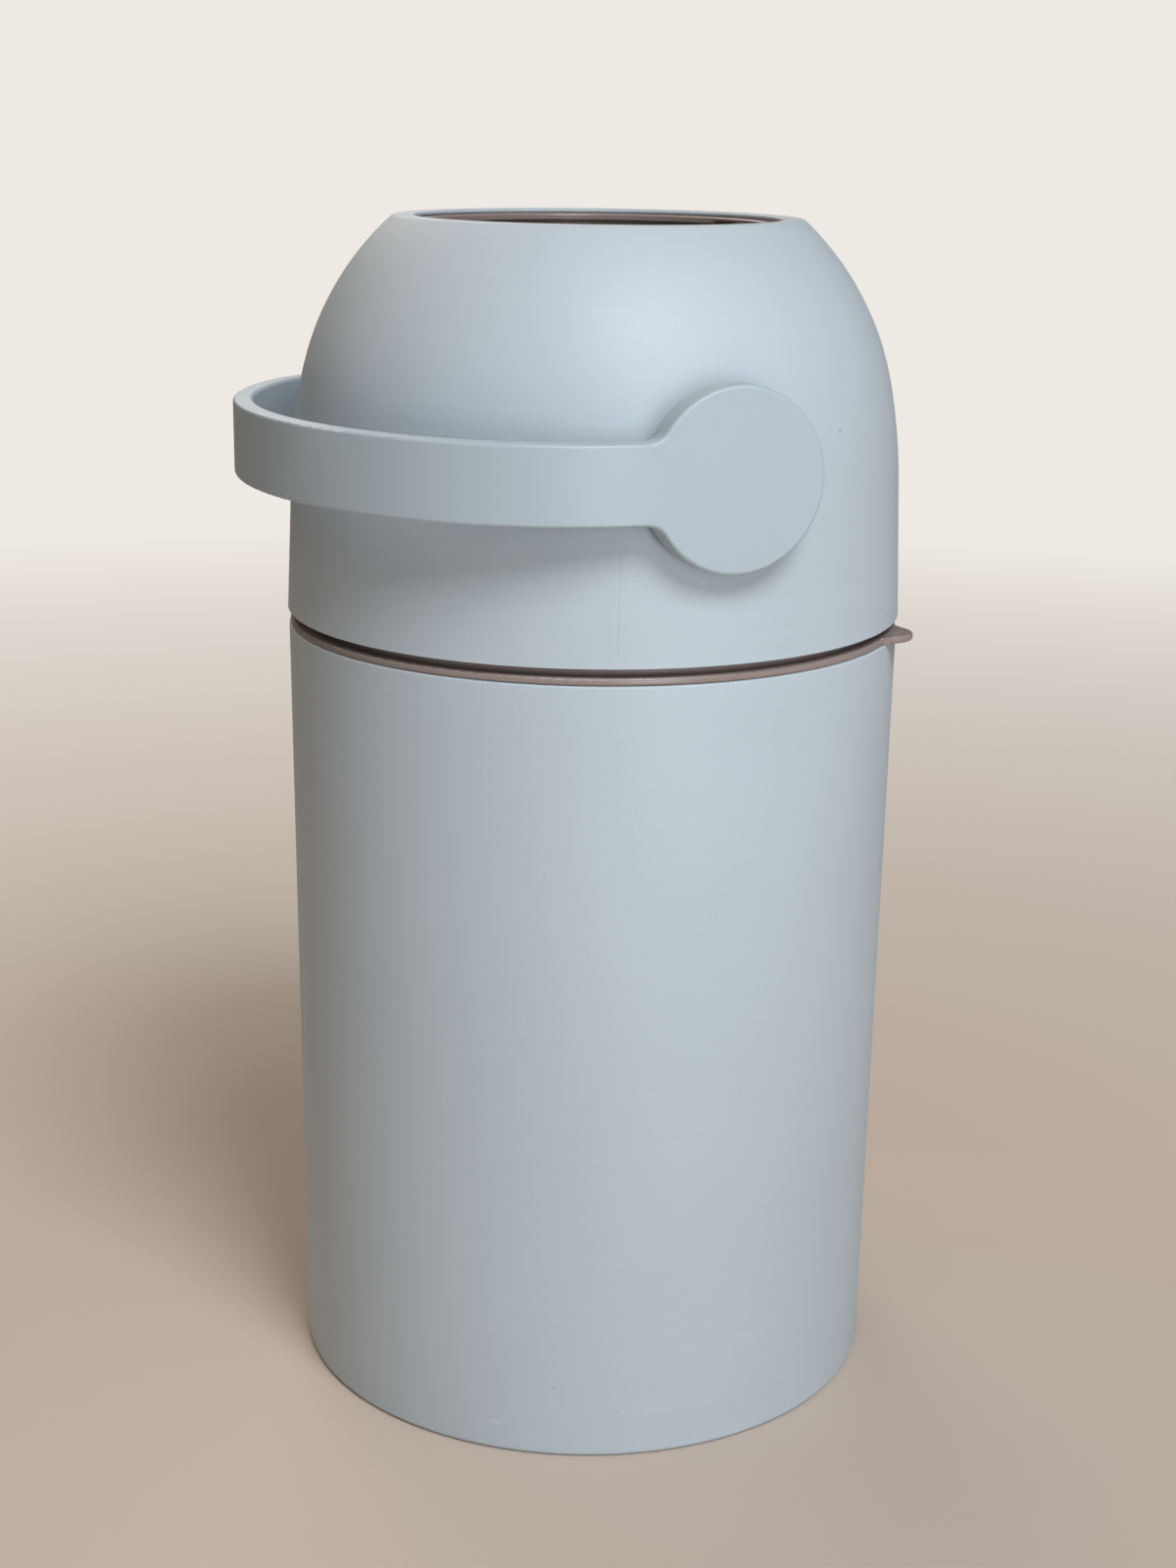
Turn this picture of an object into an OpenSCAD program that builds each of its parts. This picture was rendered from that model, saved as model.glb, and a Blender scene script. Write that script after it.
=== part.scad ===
// Nappy bin: a drum-shaped body, a bag ring and a lift-off domed head. The head holds a ball-shaped
// drum with a round chamber through it. Swinging the U handle over the top, from front to back,
// turns the drum upside down; the piston in the chamber drops and pushes the nappy into the body.
// Z is up, the origin is on the floor on the bin's centre line, and the handle rests towards -Y.

/* [Body] */
// Outer radius of the body at its rim
body_rim_r = 132.4; // [110:0.1:159]
// How much smaller that radius is at the floor
body_taper = 2.7; // [1:0.1:6]
// Height of the body from the floor to its rim
body_h = 337.6; // [240:0.1:420]
// Wall of the body
body_wall = 2.8; // [2.2:0.1:3.4]
// Thickness of the floor plate
floor_t = 3; // [2:0.1:5]
// Height of the floor plate's underside above the ground
floor_lift = 5; // [4:0.5:12]
// Width of the ring that the body stands on
foot_ring_w = 5; // [4:0.5:10]
// Ribs under the floor plate
foot_rib_count = 8; // [4:1:16]

/* [Bag ring] */
// Thickness of the ring's flange
flange_t = 3; // [2.4:0.1:5]
// How far the flange's edge lies inside the body's rim
flange_inset = 0.6; // [0:0.1:1.5]
// Width of the flange, from its edge to the mouth
flange_w = 19.8; // [16:0.1:24]
// Depth of the skirt that clamps the bag inside the body
ring_skirt_h = 26; // [12:1:60]
// Wall of the skirt and collar
ring_wall = 2.5; // [2:0.1:3]
// Thickness of the bag's film between the body's rim and the flange
film_t = 0.1; // [0.05:0.05:0.3]
// Ribs that centre the skirt in the body
ring_rib_count = 8; // [4:1:16]
// Direction of the finger tab, from +X towards +Y
tab_angle = 51.7; // [20:0.1:70]
// How far the tab stands out from the flange
tab_reach = 9.2; // [6:0.1:12]
// Radius of the tab's round end
tab_r = 13; // [11:0.5:16]

/* [Head] */
// Gap seen between the flange and the head's lower edge
head_gap = 4; // [2:0.1:5]
// Height of the drum's axis above the head's lower edge
pivot_lift = 73.4; // [61:0.1:88.1]
// How far the dome's widest ring lies inside the body's rim
dome_inset = 4.3; // [3:0.1:6]
// Distance of the centre of the dome's arc from the centre line
dome_arc_off = 5.2; // [4.5:0.1:6]
// Distance of that centre below the drum's axis
dome_arc_drop = 0.8; // [0:0.1:2]
// Radius of the arc that blends the dome into the skirt
blend_r = 240; // [200:5:300]
// Draft of the skirt, in degrees
head_draft = 2.4; // [1.5:0.1:3]
// Wall of the head
head_wall = 3; // [2.4:0.1:3.6]
// Radius of the mouth in the head's top
mouth_r = 77.3; // [64:0.1:82]
// Width of the flat lip, from the mouth to where the dome's arc would meet it
lip_w = 9.1; // [8.4:0.1:10]
// Thickness of the head's top beside the inlet seal
lip_t = 3.8; // [3.4:0.1:4.4]
// Rounding between the dome and the flat lip
lip_round = 2; // [0.8:0.1:2.4]
// Rounding of the mouth's edge
mouth_round = 0.8; // [0.2:0.1:1]
// Screws that hold the head's base
head_screw_count = 6; // [3:1:8]

/* [Drum] */
// Room between the drum's ball and the inside of the dome
drum_room = 7.1; // [6:0.1:9]
// How far the end lips stand into the chamber
end_lip = 2; // [1.8:0.1:4]
// Thickness of the end lips
end_lip_t = 2.5; // [2:0.1:4]
// Wall of the drum's ball
drum_wall = 2.5; // [2:0.1:3]
// Wall of the chamber
chamber_wall = 2.2; // [1.8:0.1:2.7]
// Screws that join the drum's halves
drum_screw_count = 4; // [4, 6]
// Height of the whole piston
piston_h = 26; // [21:1:60]
// Radial gap between the piston's plates and the chamber
piston_gap = 1.4; // [1:0.1:1.6]

/* [Handle] */
// Height of the handle's band
band_h = 31.5; // [26:0.1:38]
// Thickness of the band
band_t = 8.45; // [7:0.05:10.2]
// Gap between the pivot bosses and the handle
disc_gap = 2.8; // [2.4:0.1:5]
// Radius of the discs over the pivots
disc_r = 36.2; // [30.2:0.1:43.5]
// How much further the handle reaches forwards than its discs stand out sideways
handle_bow = 10.8; // [4:0.1:16]
// Length of each straight arm
arm_l = 31.5; // [26:0.1:40]
// Rounding of the band's edges
band_round = 1.6; // [0.8:0.1:2.4]
// Radius of the hollows where the arms run into the discs
arm_fillet = 9; // [6:0.5:12]

/* [Pivots and fixings] */
// Radius of the pivot pins' journals
journal_r = 9; // [7.5:0.1:10.8]
// Radial running clearance in the bushes
running_gap = 0.05; // [0.02:0.01:0.1]
// Clearance between seals and what they wipe
seal_gap = 0.3; // [0.2:0.05:0.5]
// Clearance between moulded parts that slip together
slip_gap = 0.4; // [0.2:0.05:0.6]
// Radius of the screws' shanks
screw_r = 1.75; // [1.5:0.05:2]
// Radius of the screws' heads
screw_head_r = 3.5; // [3:0.1:3.8]
// Height of the screws' heads
screw_head_h = 2.5; // [2:0.1:3]

/* [Hidden] */
$fn = 96;

blue = [0.71, 0.77, 0.81];
taupe = [0.52, 0.46, 0.45];
seal_grey = [0.34, 0.31, 0.31];
white = [0.86, 0.86, 0.84];
steel = [0.62, 0.63, 0.65];

far = 500;                                    // longer than anything that is cut
eps = 0.01;
bite = 0.05;                                  // play of a screw in the hole that holds it
pass = 0.2;                                   // play of a screw in the hole that it passes through
smooth = 180;                                 // steps of the large round faces

ring_z = body_h + film_t;                     // underside of the ring's flange
flange_top = ring_z + flange_t;
head_z = flange_top + head_gap;               // the head's lower edge
pivot_z = head_z + pivot_lift;                // the axis of the drum and handle

// A point at a distance and an angle from a centre.
function polar(c, r, a) = c + r * [cos(a), sin(a)];
// Half the chord of a circle at a distance from its centre.
function chord(r, d) = sqrt(r * r - d * d);
// Points along an arc, from its start to one step before its end.
function arc(c, r, from, to, steps) =
    [for (i = [0 : steps - 1]) polar(c, r, from + (to - from) * i / steps)];

// A bar section whose long edges are rounded.
module rounded_bar(w, h, r) {
    translate([r, 0]) square([w - 2 * r, h]);
    translate([0, r]) square([w, h - 2 * r]);
    for (x = [r, w - r], y = [r, h - r]) translate([x, y]) circle(r, $fn = 32);
}

// A round plate from 0 up to a height, its rim rounded above and below.
module rounded_disc(r, h, edge) {
    rotate_extrude($fn = 128) {
        square([r - edge, h]);
        translate([0, edge]) square([r, h - 2 * edge]);
        for (z = [edge, h - edge]) translate([r - edge, z]) circle(edge, $fn = 32);
    }
}

// Copies spaced evenly about the centre line, the first at a share of the spacing.
module around(count, share) {
    for (i = [0 : count - 1]) rotate((i + share) * 360 / count) children();
}

// Turns a section, drawn with its heights above the pivot, about the bin's centre line.
module turn_at_pivot() { translate([0, 0, pivot_z]) rotate_extrude($fn = smooth) children(); }

// Lays a shape drawn along +Z from the pivot's centre along +X, or along -X for the left side.
module along_pivot(side) { translate([0, 0, pivot_z]) rotate([0, side * 90, 0]) children(); }

// A screw with a socket in its head: the head's underside at 0, the shank along +Z.
module screw(length) {
    socket_r = 1.6;
    socket_depth = 1.5;
    difference() {
        union() {
            translate([0, 0, -screw_head_h]) cylinder(r = screw_head_r, h = screw_head_h);
            translate([0, 0, -eps]) cylinder(r = screw_r, h = length + eps);
        }
        translate([0, 0, -screw_head_h - 1]) cylinder(r = socket_r, h = socket_depth + 1, $fn = 6);
    }
}

// ---- body ----

body_base_r = body_rim_r - body_taper;
base_round = 2.5;

// Radius of the body's outside at a height above the floor.
function body_r(z) = body_base_r + body_taper * z / body_h;

module bin_body() {
    rim_round = 1;
    corner = 4;                               // chamfer inside, where the wall meets the floor plate
    step_in = 50;                             // the middle of the plate is stepped down this far inside
    step_depth = 1;
    foot_r = body_base_r - base_round;
    inner_base_r = body_r(floor_lift) - body_wall;
    plate_top = floor_lift + floor_t;
    color(blue) difference() {
        union() {
            rotate_extrude($fn = smooth) difference() {
                union() {
                    polygon([[0, 0], [foot_r, 0], [body_r(base_round), base_round],
                             [body_r(body_h - rim_round), body_h - rim_round],
                             [body_rim_r - rim_round, body_h], [0, body_h]]);
                    translate([foot_r, base_round]) circle(base_round, $fn = 48);
                    translate([body_rim_r - rim_round, body_h - rim_round]) circle(rim_round, $fn = 48);
                }
                polygon([[0, plate_top], [inner_base_r - corner, plate_top],
                         [inner_base_r, plate_top + corner],
                         [body_rim_r - body_wall, body_h], [body_rim_r - body_wall, far], [0, far]]);
                square([foot_r - foot_ring_w, floor_lift]);
                translate([-far, 0]) square([far, far]);
            }
            foot_ribs(foot_r - foot_ring_w);
        }
        translate([0, 0, plate_top - step_depth]) cylinder(r = body_base_r - step_in, h = far, $fn = smooth);
    }
}

// Hub ring and radial ribs that stiffen the floor plate from below; they stay off the ground.
module foot_ribs(reach) {
    rib_w = 2;
    hub_r = 30;
    lift = 2;                                 // the ribs' lower edges above the ground
    h = floor_lift - lift + 0.5;
    translate([0, 0, lift]) {
        difference() {
            cylinder(r = hub_r, h = h);
            translate([0, 0, -1]) cylinder(r = hub_r - rib_w, h = h + 2);
        }
        around(foot_rib_count, 0) translate([hub_r - rib_w / 2, -rib_w / 2, 0])
            cube([reach - hub_r + rib_w, rib_w, h]);
    }
}

// ---- bag ring ----

flange_r = body_rim_r - flange_inset;
ring_mouth_r = flange_r - flange_w;
collar_out_r = flange_r - 8.9;                // collar that centres the head on the ring
collar_h = 6.4;
flange_edge = 1;                              // rounding of the flange and its tab

module bag_ring() {
    skirt_room = 2.8;                         // between the skirt and the body's wall, for the bag
    skirt_out_r = body_rim_r - body_wall - skirt_room;
    skirt_low = ring_z - ring_skirt_h;
    lip_drop = 3;                             // down-turned edge of the mouth
    rib_w = 1.8;
    rib_out_r = body_r(skirt_low) - body_wall - seal_gap;
    color(taupe) {
        rotate_extrude($fn = smooth) {
            translate([ring_mouth_r, ring_z]) rounded_bar(flange_w, flange_t, flange_edge);
            translate([collar_out_r - ring_wall, flange_top - 1]) square([ring_wall, collar_h + 1]);
            translate([skirt_out_r - ring_wall, skirt_low]) square([ring_wall, ring_skirt_h + 1]);
            translate([ring_mouth_r, ring_z - lip_drop]) square([ring_wall, lip_drop + 1]);
        }
        rotate(tab_angle) bag_ring_tab();
        around(ring_rib_count, 0.5) translate([skirt_out_r - 0.5, -rib_w / 2, skirt_low])
            cube([rib_out_r - skirt_out_r + 0.5, rib_w, ring_skirt_h + 0.5]);
    }
}

// The finger tab: a round tongue, with a hollow on each side where it leaves the flange.
module bag_ring_tab() {
    hollow_r = 5;
    tab_c = flange_r + tab_reach - tab_r;
    // centre of a hollow: it touches both the flange's edge and the round end
    x = (pow(flange_r + hollow_r, 2) - pow(tab_r + hollow_r, 2) + tab_c * tab_c) / (2 * tab_c);
    y = chord(flange_r + hollow_r, x);
    flange_a = 180 + atan2(y, x);
    end_a = 180 + atan2(y, x - tab_c);
    overlap = 0.8;
    translate([tab_c, 0, ring_z]) rounded_disc(tab_r, flange_t, flange_edge);
    for (side = [-1, 1]) translate([x, side * y, ring_z]) difference() {
        linear_extrude(flange_t) polygon([[0, 0], polar([0, 0], tab_r + hollow_r, side * flange_a),
            [tab_c - x - 2, -side * y], polar([0, 0], hollow_r + overlap, side * end_a)]);
        translate([0, 0, -1]) cylinder(r = hollow_r, h = flange_t + 2);
    }
}

// ---- head: outlines, with the radius along x and the height above the pivot along y ----

dome_arc_r = body_rim_r - dome_inset - dome_arc_off;
dome_c = [dome_arc_off, -dome_arc_drop];
blend_turn = 12;                              // elevation at which the dome meets the blend
blend_c = polar(dome_c, dome_arc_r - blend_r, blend_turn);
skirt_top = polar(blend_c, blend_r, head_draft);
head_top = dome_c[1] + chord(dome_arc_r, mouth_r + lip_w - dome_arc_off); // above the pivot
// Centre of the rounding between dome and lip, and the elevation at which it leaves the dome.
corner_y = head_top - lip_round;
corner_c = [dome_arc_off + chord(dome_arc_r - lip_round, corner_y - dome_c[1]), corner_y];
corner_turn = atan2(corner_c[1] - dome_c[1], corner_c[0] - dome_c[0]);

// Radius of the head's skirt at a height above the pivot.
function skirt_r(y) = skirt_top[0] + (skirt_top[1] - y) * tan(head_draft);
// Distance from the pivot to the dome's inner face in a direction.
function dome_in(a) = let (along = dome_c * [cos(a), sin(a)], r = dome_arc_r - head_wall)
    along + sqrt(r * r - dome_c * dome_c + along * along);

// Everything inside the head's surface moved inwards by a distance: a drafted skirt, the blending
// arc and the dome's arc, which runs on past the head's top.
module head_region(inset) {
    low = -pivot_lift;
    over_top = 75;
    blend = arc(blend_c, blend_r - inset, head_draft, blend_turn, 8);
    dome = arc(dome_c, dome_arc_r - inset, blend_turn, over_top, 36);
    polygon(concat([[0, low], [skirt_r(low) - inset / cos(head_draft), low]], blend, dome,
                   [[0, dome[len(dome) - 1][1]]]));
}

// The head's outside, rounded between the dome and the flat lip.
module head_outline() {
    low = -pivot_lift;
    polygon(concat([[0, low], [skirt_r(low), low]], arc(blend_c, blend_r, head_draft, blend_turn, 8),
                   arc(dome_c, dome_arc_r, blend_turn, corner_turn, 32),
                   arc(corner_c, lip_round, corner_turn, 90, 8),
                   [[corner_c[0], head_top], [0, head_top]]));
}

// The mouth through the head's top, with a rounded edge.
module mouth_opening() {
    edge_r = mouth_r + mouth_round;
    polygon(concat([[0, 0], [mouth_r, 0]],
                   arc([edge_r, head_top - mouth_round], mouth_round, 180, 90, 6),
                   [[edge_r, head_top], [edge_r, far], [0, far]]));
}

// ---- drum: the sizes that the head is built round ----

drum_r = dome_arc_r + dome_arc_off - head_wall - drum_room;
drum_mouth_r = mouth_r - slip_gap;            // the ball is cut off where it is this wide
drum_end = chord(drum_r, drum_mouth_r);       // distance of the flat ends from the axis
end_land = 0.7;
chamber_r = drum_mouth_r - end_land - chamber_wall;
tube_r = chamber_r + chamber_wall;

// ---- head shell ----

base_seat_y = -pivot_lift + 10;               // underside of the shell's screw posts
post_pcd_r = skirt_r(base_seat_y) - 14;
ball_gap = 0.6;                               // between the drum's ball and fixed parts
bowl_gap = 3.5;                               // between the drum's ball and the bowl and bosses
boss_r = journal_r + 11;
boss_face = skirt_top[0] + 1.4;               // flat outer face of the pivot bosses
bush_r = journal_r + running_gap + 3;
bush_flange_r = boss_r - 3.5;
bush_flange_t = 1.2;
stop_in_r = bush_flange_r + 0.5;
stop_out_r = boss_r - 0.8;
stop_lug_half = 12;                           // half the angle that the stop lug covers
stop_depth = 2.2;

// The wiper rings' feet, as elevations of their two edges seen from the pivot.
seal_w = 7.4;
seal_foot_gap = 2;                            // between the drum's ball and a seal's foot
seal_span = seal_w / drum_r * 180 / PI;
seal_in_r = mouth_r + 7.2;                    // where the shell's lip ends and the seal's room starts
inlet_high = acos(seal_in_r / drum_r) - 1;

module head_shell() {
    low = -pivot_lift;
    ceiling = head_top - lip_t;
    color(blue) difference() {
        union() {
            turn_at_pivot() {
                difference() {
                    head_outline();
                    difference() {
                        intersection() {
                            head_region(head_wall);
                            translate([0, low]) square([far, ceiling - low]);
                        }
                        translate([0, chord(drum_r, seal_in_r)]) square([seal_in_r, far]);
                    }
                    circle(drum_r + ball_gap, $fn = smooth);
                    mouth_opening();
                    translate([-far, -far]) square([far, 2 * far]);
                }
                seal_bead();
            }
            for (side = [-1, 1]) along_pivot(side)
                translate([0, 0, drum_r + bowl_gap]) cylinder(r = boss_r, h = boss_face - drum_r - bowl_gap);
            head_posts();
        }
        for (side = [-1, 1]) {
            along_pivot(side) translate([0, 0, drum_r]) cylinder(r = bush_r, h = far);
            stop_track(side);
        }
        around(head_screw_count, 0.5)
            translate([post_pcd_r, 0, pivot_z + base_seat_y - 1]) cylinder(r = screw_r + bite, h = 14);
    }
}

// Bead inside the dome that the inlet seal's foot rests on.
module seal_bead() {
    high = inlet_high - seal_span - 0.1;
    turn = 0.8;
    depth = 2;
    polygon([polar([0, 0], dome_in(high) - depth, high), polar([0, 0], dome_in(high) + 1, high),
             polar([0, 0], dome_in(high - turn) + 1, high - turn),
             polar([0, 0], dome_in(high - turn) - depth, high - turn)]);
}

// Half-round track in each pivot boss, in which the handle's lug runs between its two stops.
module stop_track(side) {
    past = 1;                                 // degrees of play at each stop
    translate([side > 0 ? boss_face - stop_depth : -boss_face - 1, 0, pivot_z]) rotate([90, 0, 90])
        rotate(-stop_lug_half - past) rotate_extrude(angle = 180 + 2 * (stop_lug_half + past))
            translate([stop_in_r, 0]) square([stop_out_r - stop_in_r, stop_depth + 1]);
}

// Posts inside the skirt that take the base's screws, each with a web to the wall.
module head_posts() {
    post_r = 4.5;
    post_h = 18;
    web_t = 2;
    around(head_screw_count, 0.5) translate([post_pcd_r, 0, pivot_z + base_seat_y]) {
        cylinder(r = post_r, h = post_h);
        translate([0, -web_t / 2, 0])
            cube([skirt_r(base_seat_y + post_h) - head_wall / 2 - post_pcd_r, web_t, post_h]);
    }
}

// ---- base of the head: the bowl under the drum ----

bowl_r = drum_r + bowl_gap;
bowl_wall = 2.5;
outlet_r = mouth_r + 5.7;
bead_r = outlet_r + 3;                        // outer radius of the bead that keeps the outlet seal in
base_plate_t = 2.5;
gasket_t = 1.2;
gasket_w = 2.4;
base_wall_in_r = collar_out_r + slip_gap + 0.3;
base_wall_out_r = base_wall_in_r + 2.8;

module head_base() {
    plate_low = base_seat_y - base_plate_t;
    plate_in_r = max(chord(bowl_r, plate_low), outlet_r);
    plate_out_r = skirt_r(plate_low) - head_wall - slip_gap;
    seat_y = flange_top + gasket_t - pivot_z;
    color(taupe) difference() {
        turn_at_pivot() {
            difference() {
                intersection() {
                    circle(bowl_r + bowl_wall, $fn = smooth);
                    translate([outlet_r, -far]) square([far, far + base_seat_y]);
                }
                difference() {
                    circle(bowl_r, $fn = smooth);
                    difference() {
                        translate([outlet_r, -far]) square([bead_r - outlet_r, far]);
                        circle(drum_r + ball_gap, $fn = smooth);
                    }
                }
            }
            // plate under the screw posts
            difference() {
                translate([plate_in_r, plate_low]) square([plate_out_r - plate_in_r, base_plate_t]);
                circle(bowl_r, $fn = smooth);
            }
            // wall that stands on the ring
            translate([base_wall_in_r, seat_y])
                square([base_wall_out_r - base_wall_in_r, plate_low - seat_y + eps]);
        }
        around(head_screw_count, 0.5) translate([post_pcd_r, 0, pivot_z + plate_low - 1])
            cylinder(r = screw_r + pass, h = base_plate_t + 2);
    }
}

module head_gasket() {
    color(seal_grey) translate([0, 0, flange_top]) rotate_extrude($fn = smooth)
        translate([base_wall_out_r - 0.2 - gasket_w, 0]) square([gasket_w, gasket_t]);
}

module head_screws() {
    color(steel) around(head_screw_count, 0.5)
        translate([post_pcd_r, 0, pivot_z + base_seat_y - base_plate_t]) screw(14);
}

// Wiper ring round the drum's ball: a foot between two elevations, and a thin lip that slants from
// its lower edge to the ball.
module wiper_ring(foot_out_high, foot_out_low, high) {
    low = high - seal_span;
    foot_in = drum_r + seal_foot_gap;
    tip = drum_r + seal_gap + 0.2;
    polygon([polar([0, 0], foot_in, low), polar([0, 0], foot_out_low, low),
             polar([0, 0], foot_out_high, high), polar([0, 0], foot_in, high),
             polar([0, 0], foot_in, low + 1.6), polar([0, 0], tip, low - 1.4), polar([0, 0], tip, low - 2)]);
}

module inlet_seal() {
    color(seal_grey) turn_at_pivot()
        wiper_ring(dome_in(inlet_high), dome_in(inlet_high - seal_span), inlet_high);
}

module outlet_seal() {
    color(seal_grey) turn_at_pivot() mirror([0, 1])
        wiper_ring(bowl_r, bowl_r, acos(bead_r / drum_r) - 0.3);
}

// ---- pivots ----

module pivot_bush(side) {
    inner_end = drum_r + bowl_gap;
    color(white) along_pivot(side) difference() {
        union() {
            translate([0, 0, inner_end]) cylinder(r = bush_r - eps, h = boss_face - inner_end + eps);
            translate([0, 0, boss_face]) cylinder(r = bush_flange_r, h = bush_flange_t);
        }
        translate([0, 0, drum_r]) cylinder(r = journal_r + running_gap, h = far);
    }
}

module pivot_bush_right() pivot_bush(1);
module pivot_bush_left() pivot_bush(-1);

neck_r = journal_r + 2.5;
neck_end = drum_r + bowl_gap - 0.3;
key_w = 2 * neck_r + 5;
key_in = drum_r - 13;
key_t = 4;
journal_end = boss_face + bush_flange_t + slip_gap;
drive_w = journal_r * 4 / 3;                  // the square's corners stay inside the journal
drive_l = 5.5;

// A cylinder along Z from one height to another, let into what stands below it.
module cylinder_between(r, from, to) { translate([0, 0, from - eps]) cylinder(r = r, h = to - from + eps); }

// Pivot pin: a square key held between the drum's halves, a neck, the journal in the bush and
// a square drive in the handle's hub. The handle's screw passes through it from the inside.
module pivot_pin(side) {
    color(white) along_pivot(side) difference() {
        union() {
            translate([-key_w / 2, -key_w / 2, key_in]) cube([key_w, key_w, key_t]);
            cylinder_between(neck_r, key_in + key_t, neck_end);
            cylinder_between(journal_r, neck_end, journal_end);
            translate([-drive_w / 2, -drive_w / 2, journal_end - eps])
                cube([drive_w, drive_w, drive_l + eps]);
        }
        translate([0, 0, key_in - 1]) cylinder(r = screw_r + bite, h = far);
        translate([0, 0, key_in - 1]) cylinder(r = screw_head_r + 0.3, h = screw_head_h + 1.5);
    }
}

module pivot_pin_right() pivot_pin(1);
module pivot_pin_left() pivot_pin(-1);

module pivot_screws() {
    head_seat = key_in + screw_head_h + 0.5;
    color(steel) for (side = [-1, 1]) along_pivot(side) translate([0, 0, head_seat])
        screw(disc_face_x - 3 - head_seat);
}

// ---- handle ----

inner_x = boss_face + disc_gap;
disc_face_x = inner_x + band_t;

module band_section() { translate([0, -band_h / 2]) rounded_bar(band_t, band_h, band_round); }

// The loop's bends and its flatter front are arcs whose centres lie on the line of a 3-4-5
// triangle, so they run into each other without a kink.
loop_unit = (arm_l - handle_bow) / 2;
bend_c = [3 * loop_unit, -arm_l];
bend_r = disc_face_x - bend_c[0];
front_c = [0, 4 * loop_unit - arm_l];
front_r = bend_r + 5 * loop_unit;

// A ring of the band's section, of which a wedge is kept.
module band_arc(c, r, wedge) {
    intersection() {
        translate([c[0], c[1], 0]) rotate_extrude($fn = 240) translate([r - band_t, 0]) band_section();
        translate([0, 0, -band_h]) linear_extrude(2 * band_h) polygon(wedge);
    }
}

module carry_handle() {
    tip = front_c + 80 * [3, -4];
    drive_gap = 0.1;
    cap = 2.4;                                // left between the screw's hole and the disc's face
    color(blue) difference() {
        translate([0, 0, pivot_z]) {
            // flatter front of the loop
            band_arc(front_c, front_r, [front_c, tip, [-tip[0], tip[1]]]);
            for (side = [0, 1]) mirror([side, 0, 0]) {
                band_arc(bend_c, bend_r, [bend_c, tip, [tip[0], -arm_l]]);
                translate([inner_x, 0, 0]) rotate([90, 0, 0]) linear_extrude(arm_l) band_section();
                translate([inner_x, 0, 0]) rotate([0, 90, 0]) pivot_disc();
                for (up = [0, 1]) mirror([0, 0, up]) arm_hollow();
                // hub that the pivot pin drives
                translate([journal_end, 0, 0]) rotate([0, 90, 0])
                    cylinder(r = boss_r, h = inner_x - journal_end + 1);
                stop_lug();
            }
        }
        for (side = [-1, 1]) along_pivot(side) {
            translate([-drive_w / 2 - drive_gap, -drive_w / 2 - drive_gap, journal_end - 1])
                cube([drive_w + 2 * drive_gap, drive_w + 2 * drive_gap, drive_l + 1.2]);
            translate([0, 0, journal_end]) cylinder(r = screw_r + bite, h = disc_face_x - cap - journal_end);
        }
    }
}

// The disc over a pivot, with a rounded edge and a rim that reaches back towards the head's side.
module pivot_disc() {
    rim_w = 2.5;
    clear = 0.8;                              // between the rim and the head's skirt
    reach = inner_x - skirt_r(-disc_r) - clear;
    rotate_extrude($fn = 128) {
        square([disc_r - band_round, band_t]);
        translate([disc_r - rim_w, -reach]) square([rim_w, reach + band_t - band_round]);
        translate([disc_r - band_round, band_t - band_round]) circle(band_round, $fn = 32);
    }
}

// Hollow between the arm's upper edge and the disc, rounded like the band's edges.
module arm_hollow() {
    let_in = 0.02;                            // how deep its ends lie in the arm and the disc
    depth = 0.2 * arm_fillet + band_round;
    z = band_h / 2 + arm_fillet - let_in;
    y = -chord(disc_r + arm_fillet - let_in, z);
    translate([inner_x, y, z]) rotate([90, 0, 90]) rotate(-90)
        rotate_extrude(angle = atan2(-y, z), $fn = 96) {
            translate([arm_fillet + band_round, 0]) square([depth - band_round, band_t]);
            translate([arm_fillet, band_round]) square([depth, band_t - 2 * band_round]);
            for (x = [band_round, band_t - band_round])
                translate([arm_fillet + band_round, x]) circle(band_round, $fn = 32);
        }
}

// Lug on the inner face of each hub that meets the ends of the stop track.
module stop_lug() {
    lug_w = stop_out_r - stop_in_r - 2 * slip_gap;
    sunk = stop_depth - 0.4;                  // how far the lug reaches into the track
    translate([boss_face - sunk, 0, 0]) rotate([0, 90, 0])
        rotate([0, 0, -90 - stop_lug_half]) rotate_extrude(angle = 2 * stop_lug_half, $fn = 96)
            translate([stop_in_r + slip_gap, 0]) square([lug_w, sunk + journal_end - boss_face + 0.4]);
}

// ---- drum ----

screw_ring_r = (tube_r + drum_r) / 2 - 1;
joint_post_h = 20;                            // height of the posts that take the screws
joint_seat = 12;                              // depth of the lower half's screw seats below the joint
sleeve_gap = 0.1;
sleeve_seat_r = tube_r + sleeve_gap;

// The outer ball cut off at the drum's flat end.
module drum_ball(r) {
    intersection() {
        circle(r, $fn = smooth);
        square([far, drum_end]);
    }
}

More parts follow.
